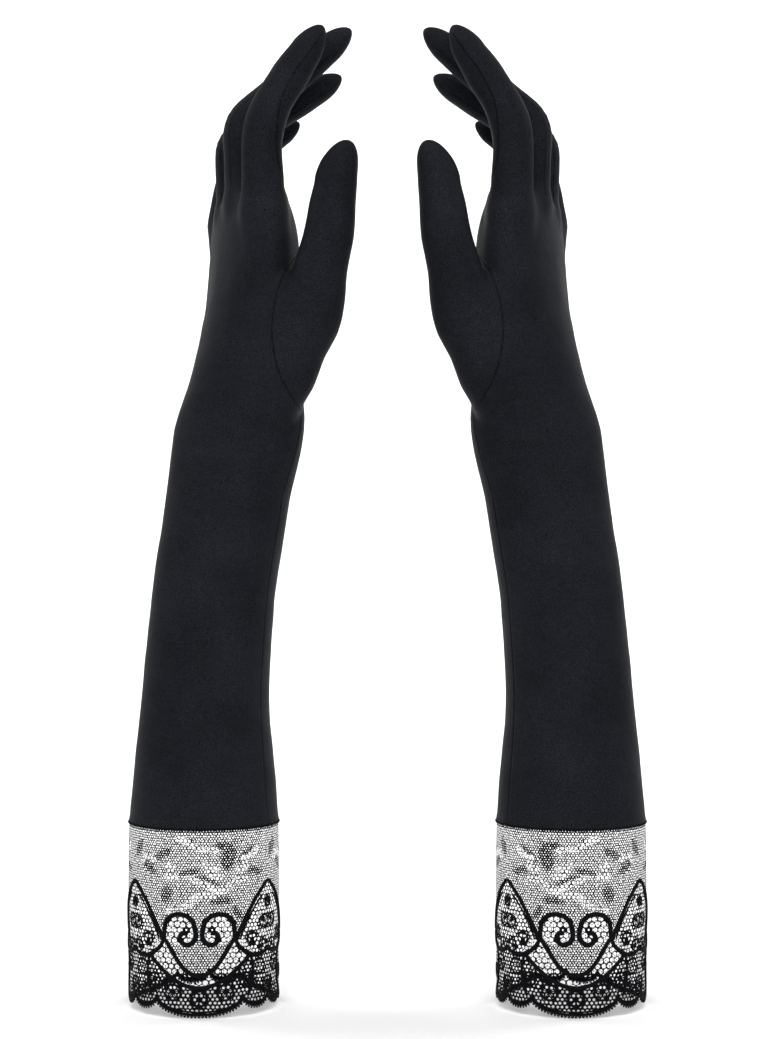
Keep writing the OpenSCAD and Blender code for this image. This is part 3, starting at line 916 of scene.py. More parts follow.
@dataclass
class SatinHand:
    """The satin from the wrist to the fingertips, cut into pieces for the hand, each finger and the thumb."""

    shape: HandField
    pitch: float = 1.05
    seam_reach: float = 6.0
    split_rise: float = 7.0
    blend_length: float = 15.0
    thumb_split: float = 343.5
    thumb_fold: float = 346.0
    # the part of the thumb in front of the palm is cut along its seam, between these heights
    front_low: float = 313.5
    front_high: float = 347.0
    cloth: float = 0.6
    stall_taper: float = 0.87

    def thumb_seam(self) -> Array:
        """The seam that sets the thumb in, in front view: an arc from the thumb's web to the wrist's edge."""
        arc = [(-35.4, 266.0), (-38.6, 271.5), (-43.2, 278.5), (-47.4, 286.0), (-50.3, 295.0),
               (-51.6, 304.5), (-51.4, 314.0), (-49.4, 325.0), (-45.6, 335.4), (-40.0, 345.0)]
        return through(arc, 160)

    def seams(self) -> list[Array]:
        """The sewn lines, as points on the skin: thumb, palm strip by the index finger, gussets and side."""
        field_shape, arm = self.shape, self.shape.arm
        thumb = self.thumb_seam()
        palm = through([(-29.6, 441.5), (-34.2, 434.0), (-40.4, 425.6), (-45.6, 416.4), (-48.4, 408.0),
                        (-49.6, 395.0), (-49.3, 385.0), (-47.2, 377.5)], 120)
        lines = [field_shape.from_front(thumb), field_shape.from_front(palm)]
        z = np.linspace(arm.sleeve_top - 6, 272.0, 60)
        share = smooth_step((z - z[0]) / (z[-1] - z[0]))
        lines.append(arm.point(-28.0 + 10.0 * share, z))
        one_gusset, two_gussets, little_gusset = (55, 125), (55, 125, 235, 305), (90, 235, 305)
        angles = [one_gusset, two_gussets, two_gussets, little_gusset]
        for finger, turns in zip(field_shape.fingers, angles):
            for angle in turns:
                lines.append(field_shape.settle(finger.seam(angle, 4.0, finger.length - 0.6 * finger.cap), 4))
        return lines

    def seam_distance(self, p: Array) -> Array:
        """Distance from each point to the nearest sewn line, up to the seam's reach.

        Args:
            p: Points, one row each.

        Returns:
            Distances in mm.
        """
        at_once = 6000
        out = np.full(len(p), self.seam_reach)
        for line in self.seams():
            low, high = line.min(0) - self.seam_reach, line.max(0) + self.seam_reach
            near = np.flatnonzero(((p > low) & (p < high)).all(1))
            for start in range(0, len(near), at_once):
                k = near[start : start + at_once]
                d = np.linalg.norm(p[k][:, None, :] - line[None], axis=2).min(1)
                out[k] = np.minimum(out[k], d)
        return out

    def skin(self) -> tuple[Array, Array, Array, Array]:
        """The whole skin of the hand.

        Returns:
            Points, quads, normals and distances to the seams.
        """
        arm = self.shape.arm
        low = np.array([-104.0, -62.0, arm.sleeve_top - 2.4 * self.pitch])
        high = np.array([-6.0, 46.0, arm.knuckle_height + 86.0])
        p, quads = quad_net(self.shape, low, high, self.pitch)
        p = self.shape.settle(relax(p, quads, 6, 0.5), 2)
        keep = p[quads, 2].mean(1) > arm.sleeve_top + 0.2
        rim = np.intersect1d(quads[keep].ravel(), quads[~keep].ravel())
        quads = quads[keep]
        p[rim, 2] = arm.sleeve_top
        x, t, w, _ = arm.section(p[rim, 2])
        angle = np.arctan2(p[rim, 1] / w, (p[rim, 0] - x) / t)
        p[rim, 0], p[rim, 1] = x + t * np.cos(angle), w * np.sin(angle)
        used, flat = np.unique(quads, return_inverse=True)
        p, quads = p[used], flat.reshape(quads.shape)
        seam = self.seam_distance(p)
        normal = self.shape.slope(p)
        normal /= np.linalg.norm(normal, axis=1, keepdims=True)
        return p, quads, normal, seam

    def folds(self, p: Array, seam: Array) -> Array:
        """How far the cloth stands in or out: slow waves, and a groove with a slight pucker at seams.

        Args:
            p: Points of the skin.
            seam: Their distances to the nearest seam.

        Returns:
            Heights above the skin, in mm.
        """
        arm = self.shape.arm
        hand = smooth_step((p[:, 2] - arm.sleeve_top - 4) / 30)
        slow = 0.14 * ripple(p, 26.0, 3) + 0.05 * ripple(p, 9.0, 5)
        groove = -0.32 * np.exp(-((seam / 0.8) ** 2)) + 0.1 * np.exp(-(((seam - 2.0) / 1.0) ** 2))
        pucker = 0.05 * ripple(p, 3.2, 8) * np.exp(-((seam / 2.2) ** 2))
        return hand * slow + (groove + pucker) * smooth_step((p[:, 2] - arm.sleeve_top) / 4)

    def cut(self, p: Array, quads: Array) -> Array:
        """Which piece each quad belongs to.

        Args:
            p: Points of the skin.
            quads: Its quads.

        Returns:
            For each quad 0 for the hand, 1 to 4 for the fingers or 5 for the thumb.
        """
        middle = p[quads].mean(1)
        parts = self.shape.parts(middle)
        label = np.zeros(len(quads), int)
        fingers = self.shape.fingers
        edges = [(a.side + a.width / 2 + b.side - b.width / 2) / 2 for a, b in zip(fingers, fingers[1:])]
        which = np.searchsorted(edges, middle[:, 1])
        split = np.array([f.base_z + self.split_rise for f in fingers])[which]
        nearer = parts[:, 5] < parts[:, :5].min(1)
        seam = self.thumb_seam()
        x, y, z = middle.T
        across = np.interp(z, seam[:, 1], seam[:, 0])
        front = y < -20 - 6 * smooth_step((z - 325) / 20)
        thumb = nearer & (z > self.thumb_split)
        thumb |= front & (x > across) & (z > self.front_low) & (z < self.front_high)
        finger = (z > split) & ~thumb
        label[finger] = which[finger] + 1
        label[thumb] = 5
        return label

    def lined(self, p: Array, quads: Array, normal: Array) -> tuple[Array, Array]:
        """Gives a stall the cloth's thickness: an inner face, turned inwards, and a rim round its mouth.

        Args:
            p: Points of the outer face.
            quads: Its quads.
            normal: Its normals.

        Returns:
            Points and quads of the closed shell.
        """
        n = len(p)
        edges = np.vstack([quads[:, [i, (i + 1) % 4]] for i in range(4)])
        key = np.sort(edges, axis=1)
        _, first, uses = np.unique(key, axis=0, return_index=True, return_counts=True)
        rim = edges[first[uses == 1]]
        band = np.column_stack([rim[:, 1], rim[:, 0], rim[:, 0] + n, rim[:, 1] + n])
        return np.vstack([p, p - normal * self.cloth]), np.vstack([quads, quads[:, ::-1] + n, band])

    def make(self, side: Side, shop: Workshop, finishes: Finishes, skin: tuple[Array, ...]) -> None:
        """Cuts the skin into its pieces, and makes a mesh of each one.

        Args:
            side: Left or right.
            shop: Makes the meshes.
            finishes: The gloves' finishes.
            skin: Points, quads, normals, seam distances and quad labels.
        """
        p, quads, normal, seam, label = skin
        word = side.word
        names = ["hand"] + [f.name for f in self.shape.fingers] + ["thumb"]
        covers = {
            "hand": ["wrist_fabric", "hand_back", "hand_palm", "thumb_base"],
            "index": ["index_back", "index_palm", "gusset_index_side", "knuckle_fabric"],
            "middle": ["middle_back", "middle_palm", "gusset_middle_front", "gusset_middle_side"],
            "ring": ["ring_back", "ring_palm", "gusset_ring_front", "gusset_ring_side"],
            "little": ["little_back", "little_palm", "gusset_little_front"],
            "thumb": ["thumb_crease", "thumb_stall"],
        }
        for k, name in enumerate(names):
            used, flat = np.unique(quads[label == k], return_inverse=True)
            own = flat.reshape(-1, 4)
            points, faces, facing, near = p[used], own, normal[used], seam[used]
            if k:
                points, faces = self.lined(p[used], own, normal[used])
                facing, near = np.vstack([facing, -facing]), np.tile(near, 2)
            title = f"{word}_{name}_satin"
            body = shop.piece(title, points, faces, side, finishes.satin, {"seam": near}, facing)
            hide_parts(*[f"{word}_{n}" for n in covers[name]])
            self.follow(body, word, k)

    def flat(self, k: int) -> tuple[float, float]:
        """Flat size of a piece's cloth, from the hand's driving sizes: its girth times its length.

        Args:
            k: 0 for the hand, 1 to 4 for the fingers, 5 for the thumb.

        Returns:
            Width and length, in mm.
        """
        arm, thumb = self.shape.arm, self.shape.thumb
        if k == 0:
            girth = 2 * math.pi * math.sqrt((arm.knuckle_half**2 + (arm.palm_thickness / 2) ** 2) / 2)
            return girth, arm.knuckle_height - arm.sleeve_top
        if k == 5:
            top = thumb.rows[-1][0] + thumb.cap
            _, _, _, thick, wide = thumb.rows[-3]
            return math.pi * (thick + wide), top - self.front_low
        finger = self.shape.fingers[k - 1]
        girth = math.pi * (finger.thickness + finger.width) / 2 * self.stall_taper
        return girth, finger.length - self.split_rise

    def follow(self, body: bpy.types.Object, word: str, k: int) -> None:
        """Bakes a piece's placing into its mesh; the bodies and the height of its joint are worked out but
        not used.

        Args:
            body: The piece.
            word: The side's word.
            k: 0 for the hand, 1 to 4 for the fingers, 5 for the thumb.
        """
        arm = self.shape.arm
        start, lower, upper = arm.sleeve_top, f"{word}_sleeve", f"{word}_hand"
        if k:
            lower = upper
            finger = self.shape.fingers[k - 1] if k < 5 else None
            upper = f"{word}_{finger.name if finger else 'thumb'}"
            start = finger.base_z + self.split_rise + self.pitch if finger else self.thumb_fold
        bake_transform(body)


# ---------------------------------------------------------------- the sleeve


@dataclass
class Sleeve:
    """The satin tube of the forearm, with its side seam and a turned edge where the lace begins."""

    arm: ArmShape
    rows: int = 130
    cols: int = 200
    seam_angle: float = -28.0
    back_seam: float = -180.0
    seam_reach: float = 6.0

    def make(self, side: Side, shop: Workshop, finishes: Finishes) -> None:
        """Makes the sleeve as a grid of angle and height, with slow waves and grooves at its two seams.

        Args:
            side: Left or right.
            shop: Makes the meshes.
            finishes: The gloves' finishes.
        """
        arm = self.arm
        z = np.linspace(arm.cuff_height, arm.sleeve_top, self.rows)
        angle = np.linspace(0, 360, self.cols, endpoint=False)
        zz, aa = (m.ravel() for m in np.meshgrid(z, angle, indexing="ij"))
        base = arm.point(aa, zz)
        _, t, w, _ = arm.section(zz)
        away = [np.abs((aa - seam_at + 180) % 360 - 180) for seam_at in (self.seam_angle, self.back_seam)]
        seam = np.minimum(np.radians(np.minimum(*away)) * (t + w) / 2, self.seam_reach)
        top = smooth_step((arm.sleeve_top - zz) / 6)
        hem = np.exp(-(((zz - arm.cuff_height) / 2.6) ** 2))
        slow = 0.22 * ripple(base, 48.0, 11) + 0.06 * ripple(base, 15.0, 12)
        groove = -0.32 * np.exp(-((seam / 0.8) ** 2))
        proud = (slow * smooth_step((zz - arm.cuff_height) / 12) + groove) * top + 0.35 * hem
        edge = 0.12 * hem * np.sin(np.radians(aa) * 60)
        p = arm.point(aa, zz, proud + edge)
        body = shop.piece(f"{side.word}_sleeve_satin", p, strip_grid(self.rows, self.cols, True), side,
                          finishes.satin, {"seam": seam})
        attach(body, f"{side.word}_sleeve")
        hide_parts(f"{side.word}_sleeve_back", f"{side.word}_sleeve_palm")


# ---------------------------------------------------------------- the lace


class Mesh(Enum):
    """How open the lace's net is; the value is the pitch of its holes, in mm."""

    FINE = 1.24
    MIDDLE = 1.95
    OPEN = 2.7


@dataclass
class LaceCuff:
    """The lace cuff: a knotted net, cords that outline its figures, and a scalloped edge with small loops.

    A place on the lace is (x, z): x runs round the arm in mm from the middle of the shield figure, and z
    is the height. The figures repeat round the front of the cuff, and the back is plain net.
    """

    arm: ArmShape
    repeats: int = 3
    centre: float = -89.5
    large_scallop: float = 7.5
    small_scallop: float = 5.0
    large_share: float = 0.58
    cord_sides: int = 6
    figured: float = 53.5
    loop_spacing: float = 1.5
    loop_height: float = 1.05

    def __post_init__(self) -> None:
        """Works out the length of one repeat."""
        a, b = self.arm.cuff_width / 2, self.arm.cuff_depth / 2
        self.around = math.pi * (3 * (a + b) - math.sqrt((3 * a + b) * (a + 3 * b)))
        self.repeat = self.around / self.repeats
        self.top = self.arm.cuff_height - 0.3

    def place(self, x: Array, z: Array, proud: float | Array = 0.0) -> Array:
        """A point of the lace on the arm.

        Args:
            x: Place round the cuff.
            z: Height.
            proud: Distance outside the lace, in mm.

        Returns:
            Points, one row each.
        """
        return self.arm.point(self.centre + x / self.around * 360.0, z, proud)

    def edge(self, x: Array) -> Array:
        """Height of the scalloped edge: each repeat has a large round arc between two small ones.

        Args:
            x: Places round the cuff.

        Returns:
            Heights in mm.
        """
        f = (x / self.repeat + 0.5) % 1.0
        g = (1 - self.large_share) / 2

        def arc(share: Array, depth: float) -> Array:
            """A half ellipse that is lowest in its middle."""
            return depth * (1 - np.sqrt(np.clip(1 - (2 * share - 1) ** 2, 0, 1)))

        lift = self.large_scallop - self.small_scallop
        small = lift + arc(np.where(f < g, f / g, (f - 1 + g) / g), self.small_scallop)
        return np.where((f < g) | (f > 1 - g), small, arc((f - g) / self.large_share, self.large_scallop))

    # outlines of half a figure, mirrored about its middle: (x, z)
    OUTER_BOWL = [(0, 12.4), (5, 13.2), (9.6, 15.2), (14.6, 18.6), (19.3, 22.6), (23.6, 26.6)]
    INNER_BOWL = [(0, 18.0), (5, 19.6), (8.6, 23.6), (11.8, 28.4), (15.6, 34.4)]
    LEAF = [(16.4, 32.4), (17.6, 36.6), (19.8, 41), (23.4, 47), (28.2, 53.4), (34.8, 59.4)]
    SCROLL = (8.6, 38.6)
    SCROLL_RADIUS = 6.9
    EYE = (5.2, 34.8)
    EYE_RADIUS = 3.1
    # how wide the holes are, as a share of their cells: the net above, figures, foot, back and dense lines
    NET_HOLE = 0.66
    FIGURE_HOLE = 0.8
    LEAF_HOLE = 0.72
    FOOT_HOLE = 0.58
    BACK_HOLE = 0.9
    DENSE_HOLE = 0.35
    EYE_HOLE = 0.3
    BLOOM_DENSITY = 0.24
    BACK_BAND = 6.0
    HEM = 1.6

    def half(self, x: Array) -> Array:
        """Distance round the arm from the nearest shield's middle."""
        return np.abs((x / self.repeat + 0.5) % 1.0 - 0.5) * self.repeat

    def turned(self, x: Array) -> Array:
        """Distance round the arm from the front shield's middle, up to half the cuff."""
        return np.abs((x / self.around + 0.5) % 1.0 - 0.5) * self.around

    def regions(self, x: Array, z: Array) -> tuple[Array, Array]:
        """Kind of net and size of its holes at some places.

        Args:
            x: Places round the cuff.
            z: Heights.

        Returns:
            The pitch of the net there, and the hole's share of its cell across, 0 for solid cloth.
        """
        m = self.half(x)
        outer = np.interp(m, *np.array(self.OUTER_BOWL).T, right=26.6)
        inner = np.interp(m, *np.array(self.INNER_BOWL).T, right=99)
        leaf = np.interp(m, *np.array(self.LEAF).T, left=-1)
        scroll = np.hypot(m - self.SCROLL[0], z - self.SCROLL[1])
        eye = np.hypot(m - self.EYE[0], z - self.EYE[1])
        is_bowl = (z > outer) & (z < inner) & (m < 20.0) & (z < 33)
        is_scroll = (scroll < self.SCROLL_RADIUS) & (z > inner - 3)
        is_leaf = (z < leaf) & (m > 16.4) & ~is_bowl & (z > outer)
        is_foot = (z < outer) & ~is_bowl
        pitch = np.full(len(x), Mesh.FINE.value)
        pitch[is_leaf | is_foot] = Mesh.MIDDLE.value
        pitch[is_bowl | is_scroll] = Mesh.OPEN.value
        hole = np.full(len(x), self.NET_HOLE)
        hole[is_bowl | is_scroll] = self.FIGURE_HOLE
        hole[is_leaf] = self.LEAF_HOLE
        hole[is_foot] = self.FOOT_HOLE
        hole[is_scroll & (eye > self.EYE_RADIUS - 0.5) & (eye < self.EYE_RADIUS + 0.7)] = self.EYE_HOLE
        for cx, cz, r in self.medallions():
            ring = np.hypot(m - cx, z - cz)
            hole[(is_leaf | is_foot) & (ring > r) & (ring < r + 0.9)] = self.DENSE_HOLE
            hole[(is_leaf | is_foot) & (ring < 0.9)] = 0.0
        bloom, trail = self.flowers(x, z)
        above = pitch == Mesh.FINE.value
        hole = np.where(above, hole - self.BLOOM_DENSITY * bloom, hole)
        hole[above & (z > self.top - 1.3)] = self.DENSE_HOLE
        pitch[above & (trail > 0)] = Mesh.MIDDLE.value
        hole[above & (trail > 0)] = self.FIGURE_HOLE
        plain = self.turned(x) > self.figured
        pitch[plain] = Mesh.MIDDLE.value
        hole[plain & (z > self.BACK_BAND)] = self.BACK_HOLE
        hole[z < self.edge(x) + self.HEM] = 0.0
        return pitch, hole

    def medallions(self) -> list[tuple[float, float, float]]:
        """Round figures in the foot and the leaves: distance from the middle, height and radius."""
        return [(0.0, 7.6, 3.5), (11.6, 10.2, 3.6), (21.0, 15.4, 3.0), (28.4, 20.5, 3.4), (34.8, 11.6, 3.4),
                (24.6, 33.5, 2.6), (31.8, 40.5, 2.8), (34.8, 49.0, 2.0), (31.0, 29.5, 2.6)]

    def flowers(self, x: Array, z: Array) -> tuple[Array, Array]:
        """Dense petals and open trails in the net above the figures.

        Args:
            x: Places round the cuff.
            z: Heights.

        Returns:
            Density of the petals from 0 to 1, and 1 on the trails.
        """
        s = (x / self.repeat + 0.5) % 1.0 * self.repeat - self.repeat / 2
        bloom = np.zeros(len(x))
        petals = [
            # middle x and z, half length and width, turn in degrees
            (13, 71, 6.5, 3.4, 80), (8.5, 76, 4.5, 1.8, 20), (-14.6, 54, 4.2, 2.6, 70),
            (9.5, 51.5, 5.0, 1.8, 5), (3.5, 60.5, 5.5, 1.5, -24), (-4, 64.5, 4.6, 1.5, 10),
            (-17, 72, 5.5, 1.8, 30), (-24, 66, 5.0, 2.0, -35), (22, 72, 6.0, 2.2, 35),
            (26, 64, 4.6, 1.8, -10), (-31, 74, 4.6, 2.0, 60), (17, 46, 3.6, 1.5, -58),
        ]
        for cx, cz, a, b, turn in petals:
            c, d = math.cos(math.radians(turn)), math.sin(math.radians(turn))
            u, v = (s - cx) * c + (z - cz) * d, -(s - cx) * d + (z - cz) * c
            bloom = np.maximum(bloom, smooth_step((1.15 - np.sqrt((u / a) ** 2 + (v / b) ** 2)) / 0.35))
        trails = [
            [(-4, 62), (-1, 60.4), (2, 59.4), (6, 57.4), (9.8, 55.6), (14, 58.4), (17, 60.4), (20.6, 60.8)],
            [(6, 53.4), (2, 54), (-2, 53.2), (-4, 50.6), (-7, 48.6), (-10, 47), (-13, 46.4)],
            [(-9.4, 79.4), (-6.4, 78.6), (-2, 76), (0.6, 74.8), (4.4, 74.6), (7.4, 74)],
            [(2.4, 68), (4, 65.4), (7, 66.4), (5.4, 63.4), (9, 62)],
            [(-15, 67.4), (-12, 65.8), (-14, 62.4), (-10, 61.6)],
            [(27, 74), (23.4, 71), (20, 70), (21.4, 66.6), (17.6, 65)],
            [(-29, 68), (-25, 70.6), (-21, 69.4)],
        ]
        trail = np.zeros(len(x))
        for points in trails:
            line = through(points, 60)
            trail[np.hypot(s[:, None] - line[None, :, 0], z[:, None] - line[None, :, 1]).min(1) < 1.25] = 1.0
        return bloom, trail

    def net(self, kind: Mesh) -> tuple[Array, Array]:
        """One kind of net: a honeycomb whose cells are flat rings of thread, wherever that kind belongs.

        Args:
            kind: Which net.

        Returns:
            Points and quads.
        """
        fine = kind is Mesh.FINE
        cols = 2 * round(self.around / kind.value / 2)
        pitch = self.around / cols
        rise = pitch * 0.866
        rows = int(self.top / rise) + 1
        c, r = np.meshgrid(np.arange(cols), np.arange(rows), indexing="ij")
        cx = ((c + 0.5 * (r % 2)) * pitch).ravel()
        cz = (r * rise + 0.3 * rise).ravel()
        wanted, hole = self.regions(cx, cz)
        keep = (wanted == kind.value) & (cz > self.edge(cx) + 0.25 * rise) & (cz < self.top - 0.25 * rise)
        cx, cz, hole = cx[keep], cz[keep], hole[keep]
        corners = 6 if fine else 12
        turn = np.radians(np.arange(corners) * 360 / corners + 30)
        reach = pitch / math.sqrt(3)
        side_cut = 1.0 if fine else np.where(np.arange(corners) % 2 == 0, 1.0, math.cos(math.pi / 6))
        rng = np.random.default_rng(round(kind.value * 100))
        wobble = rng.normal(size=(len(cx), 2)) * 0.04 * pitch
        ox = cx[:, None] + reach * side_cut * np.cos(turn)
        oz = cz[:, None] + reach * side_cut * np.sin(turn)
        size = (hole * rng.uniform(0.94, 1.04, len(cx)))[:, None] * reach * (1.0 if fine else 0.93)
        ix = cx[:, None] + wobble[:, :1] * (hole < self.BACK_HOLE)[:, None] + size * np.cos(turn)
        iz = cz[:, None] + wobble[:, 1:] * (hole < self.BACK_HOLE)[:, None] + size * np.sin(turn)
        oz, iz = np.minimum(oz, self.top + 0.4), np.minimum(iz, self.top + 0.3)
        oz = np.maximum(oz, self.edge(ox) - 0.1)
        x, z = np.stack([ox, ix], 1).reshape(-1), np.stack([oz, iz], 1).reshape(-1)
        a = (np.arange(len(cx)) * 2 * corners)[:, None] + np.arange(corners)
        b = (np.arange(len(cx)) * 2 * corners)[:, None] + (np.arange(corners) + 1) % corners
        quads = np.stack([a, b, b + corners, a + corners], -1).reshape(-1, 4)
        return self.place(x, z, 0.02 if fine else 0.05), quads

    def cord(self, line: Array, radius: float, closed: bool = False) -> tuple[Array, Array]:
        """A cord that lies on the lace: a flattened round profile carried along a line.

        Args:
            line: Places of its middle.
            radius: Its radius, in mm.
            closed: Joins its ends.

        Returns:
            Points and quads.
        """
        ahead = np.roll(line, -1, 0) - np.roll(line, 1, 0)
        if not closed:
            ahead[0], ahead[-1] = line[1] - line[0], line[-1] - line[-2]
        ahead /= np.linalg.norm(ahead, axis=1, keepdims=True)
        across = np.column_stack([-ahead[:, 1], ahead[:, 0]])
        turn = np.linspace(0, 2 * math.pi, self.cord_sides, endpoint=False)
        taper = np.ones(len(line))
        if not closed and len(line) > 8:
            s = np.linspace(0, 1, len(line))
            taper = np.clip(np.minimum(s, 1 - s) * len(line) / 3, 0.15, 1.0)
        wide = (radius * taper)[:, None] * np.cos(turn)
        x = line[:, :1] + across[:, :1] * wide
        z = line[:, 1:] + across[:, 1:] * wide
        proud = 0.12 + (0.6 * radius * taper)[:, None] * np.sin(turn)
        p = self.place(x.ravel(), z.ravel(), proud.ravel())
        rows = len(line) + (1 if closed else 0)
        r, c = np.meshgrid(np.arange(rows - 1), np.arange(self.cord_sides), indexing="ij")
        n = self.cord_sides
        a, b = r * n + c, r * n + (c + 1) % n
        up = (r + 1) % len(line) * n
        quads = np.stack([a, up + c, up + (c + 1) % n, b], -1).reshape(-1, 4)
        return p, quads

    def ring(self, x: float, z: float, radius: float, first: float, last: float) -> Array:
        """Places on an arc.

        Args:
            x: Its centre's place round the cuff.
            z: Its centre's height.
            radius: Its radius, in mm.
            first: Angle where it starts, in degrees.
            last: Angle where it ends.

        Returns:
            Places, one row each.
        """
        count = max(10, int(abs(last - first) / 360 * radius * 16))
        t = np.radians(np.linspace(first, last, count))
        return np.column_stack([x + radius * np.cos(t), z + radius * np.sin(t)])

    def scroll_line(self) -> list[tuple[float, float]]:
        """Half the shield's scroll: up its outer side, over the top, down the middle and into the eye."""
        x, z, r = *self.SCROLL, self.SCROLL_RADIUS
        ex, ez, e = *self.EYE, self.EYE_RADIUS
        turns = [math.radians(t) for t in range(0, 181, 30)]
        outer = [(x + r * math.cos(t), z + r * math.sin(t)) for t in turns]
        return [(15.8, 32.6), *outer, (ex - e - 0.7, ez + 1.2), (ex - e + 0.3, ez - 1.6), (ex, ez - e),
                (ex + e - 0.7, ez - 1.8), (ex + e, ez + 0.6), (ex + 1.6, ez + 2.3), (ex - 0.4, ez + 1.6)]

    def figures(self) -> list[tuple[Array, float]]:
        """The cords of one repeat, each with its radius: bowls, scrolls, leaves, rings and petals."""
        out: list[tuple[Array, float]] = []
        for half in (self.OUTER_BOWL, self.INNER_BOWL):
            other = [(-x, z) for x, z in reversed(half[1:])]
            out.append((through(other + half, 120), 1.0))
        # outline, number of points and cord radius of each line on one side of the figure
        strokes = [
            (self.LEAF, 60, 1.05),
            (self.scroll_line(), 130, 1.1),
            ([(0.9, 40.5), (0.7, 37), (0.7, 32.6)], 16, 0.3),
            ([(18.2, 33.0), (19.6, 37.4), (22.4, 42.6), (26.6, 48.4), (31.4, 53.4)], 50, 0.5),
            ([(15.8, 33.6), (18.6, 29.6), (22.6, 27.0), (27.4, 25.6), (34.8, 27.4)], 60, 0.95),
            ([(23.6, 26.4), (25.0, 20.0), (24.2, 12.6), (22.0, 7.0)], 40, 0.8),
        ]
        petals = 5
        for flip in (np.array([1, 1.0]), np.array([-1, 1.0])):
            out += [(through(points, count) * flip, radius) for points, count, radius in strokes]
            for x, z, r in self.medallions():
                out.append((self.ring(x, z, r, 0, 360) * flip, 0.55))
                for k in range(petals):
                    t = math.radians(360 / petals * k + 90)
                    spoke = [(x + d * math.cos(t), z + d * math.sin(t)) for d in (0.5, 0.6 * r, r)]
                    out.append((through(spoke, 7) * flip, 0.26))
        return out

    def edging(self) -> tuple[list[Array], list[Array]]:
        """The border cord of the scallops and the small loops along it.

        Returns:
            Points and quads of each part.
        """
        x = np.linspace(0, self.around, 1400, endpoint=False)
        border = np.column_stack([x, self.edge(x)])
        run = np.concatenate([[0.0], np.cumsum(np.linalg.norm(np.diff(border, axis=0), axis=1))])

        def along(places: Array) -> Array:
            """Points of the border at some distances along it."""
            return np.column_stack([np.interp(places, run, border[:, k]) for k in range(2)])

        line = along(np.linspace(0, run[-1], 900)[:-1])
        # height above the border and radius of its two cords
        borders = ((0.45, 0.62), (self.HEM, 0.42))
        cords = [self.cord(line + np.array([0, rise]), radius, True) for rise, radius in borders]
        points, quads = map(list, zip(*cords))
        loops = int(run[-1] / self.loop_spacing)
        step = 0.4
        mid = along(np.linspace(0, run[-1], loops, endpoint=False))
        ahead = np.column_stack([np.full(loops, step), self.edge(mid[:, 0] + step) - mid[:, 1]])
        ahead /= np.linalg.norm(ahead, axis=1, keepdims=True)
        down = np.column_stack([ahead[:, 1], -ahead[:, 0]])
        t = np.radians(np.linspace(0, 180, 5))
        for k in range(loops):
            drop = self.loop_height * np.sin(t)[:, None] - 0.1
            loop = mid[k] + 0.4 * np.cos(t)[:, None] * ahead[k] + drop * down[k]
            p, q = self.cord(loop, 0.3)
            points.append(p)
            quads.append(q)
        return points, quads

    def make(self, side: Side, shop: Workshop, finishes: Finishes) -> None:
        """Args:
            side: Left or right.
            shop: Makes the meshes.
            finishes: The gloves' finishes.
        """
        word = side.word
        p, q = joined(*zip(*[self.net(kind) for kind in Mesh]))
        net = shop.piece(f"{word}_lace_net", p, q, side, finishes.lace)
        points, quads = [], []
        for k in range(self.repeats):
            for line, radius in self.figures():
                line = line + np.array([k * self.repeat, 0])
                if self.turned(line[:, 0]).max() > self.figured + 1.0:
                    continue
                cord = self.cord(line, radius)
                points.append(cord[0])
                quads.append(cord[1])
        cords = shop.piece(f"{word}_lace_cords", *joined(points, quads), side, finishes.cord)
        edge = shop.piece(f"{word}_lace_edge", *joined(*self.edging()), side, finishes.cord)
        for piece in (net, cords, edge):
            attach(piece, f"{word}_sleeve")
        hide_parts(f"{word}_lace_cuff")


def joined(points: list[Array], quads: list[Array]) -> tuple[Array, Array]:
    """Several meshes as one set of points and quads.

    Args:
        points: The points of each mesh.
        quads: The quads of each mesh.

    Returns:
        All points and all quads.
    """
    starts = np.concatenate([[0], np.cumsum([len(p) for p in points])[:-1]])
    return np.vstack(points), np.vstack([q + s for q, s in zip(quads, starts)])


@dataclass
class CuffSeam:
    """The overlocked seam where lace meets satin: a soft ridge wound with thread."""

    arm: ArmShape
    radius: float = 0.75
    stitches: int = 150

    def make(self, side: Side, shop: Workshop, finishes: Finishes) -> None:
        """Makes the ridge as a ring whose profile swells with each stitch.

        Args:
            side: Left or right.
            shop: Makes the meshes.
            finishes: The gloves' finishes.
        """
        around, across = self.stitches * 6, 8
        a = np.linspace(0, 360, around, endpoint=False)
        t = np.linspace(0, 2 * math.pi, across, endpoint=False)
        aa, tt = (m.ravel() for m in np.meshgrid(a, t, indexing="ij"))
        swell = 1 + 0.16 * np.sin(np.radians(aa) * self.stitches + tt)
        z = self.arm.cuff_height + 0.1 + 0.8 * self.radius * swell * np.sin(tt)
        p = self.arm.point(aa, z, 0.1 + 0.8 * self.radius * swell * np.cos(tt))
        r, c = np.meshgrid(np.arange(around), np.arange(across), indexing="ij")
        up = (r + 1) % around * across
        quads = np.stack([r * across + c, up + c, up + (c + 1) % across, r * across + (c + 1) % across], -1)
        ring = shop.piece(f"{side.word}_cuff_seam_thread", p, quads.reshape(-1, 4), side, finishes.thread)
        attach(ring, f"{side.word}_sleeve")
        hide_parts(f"{side.word}_cuff_seam")


# ---------------------------------------------------------------- studio


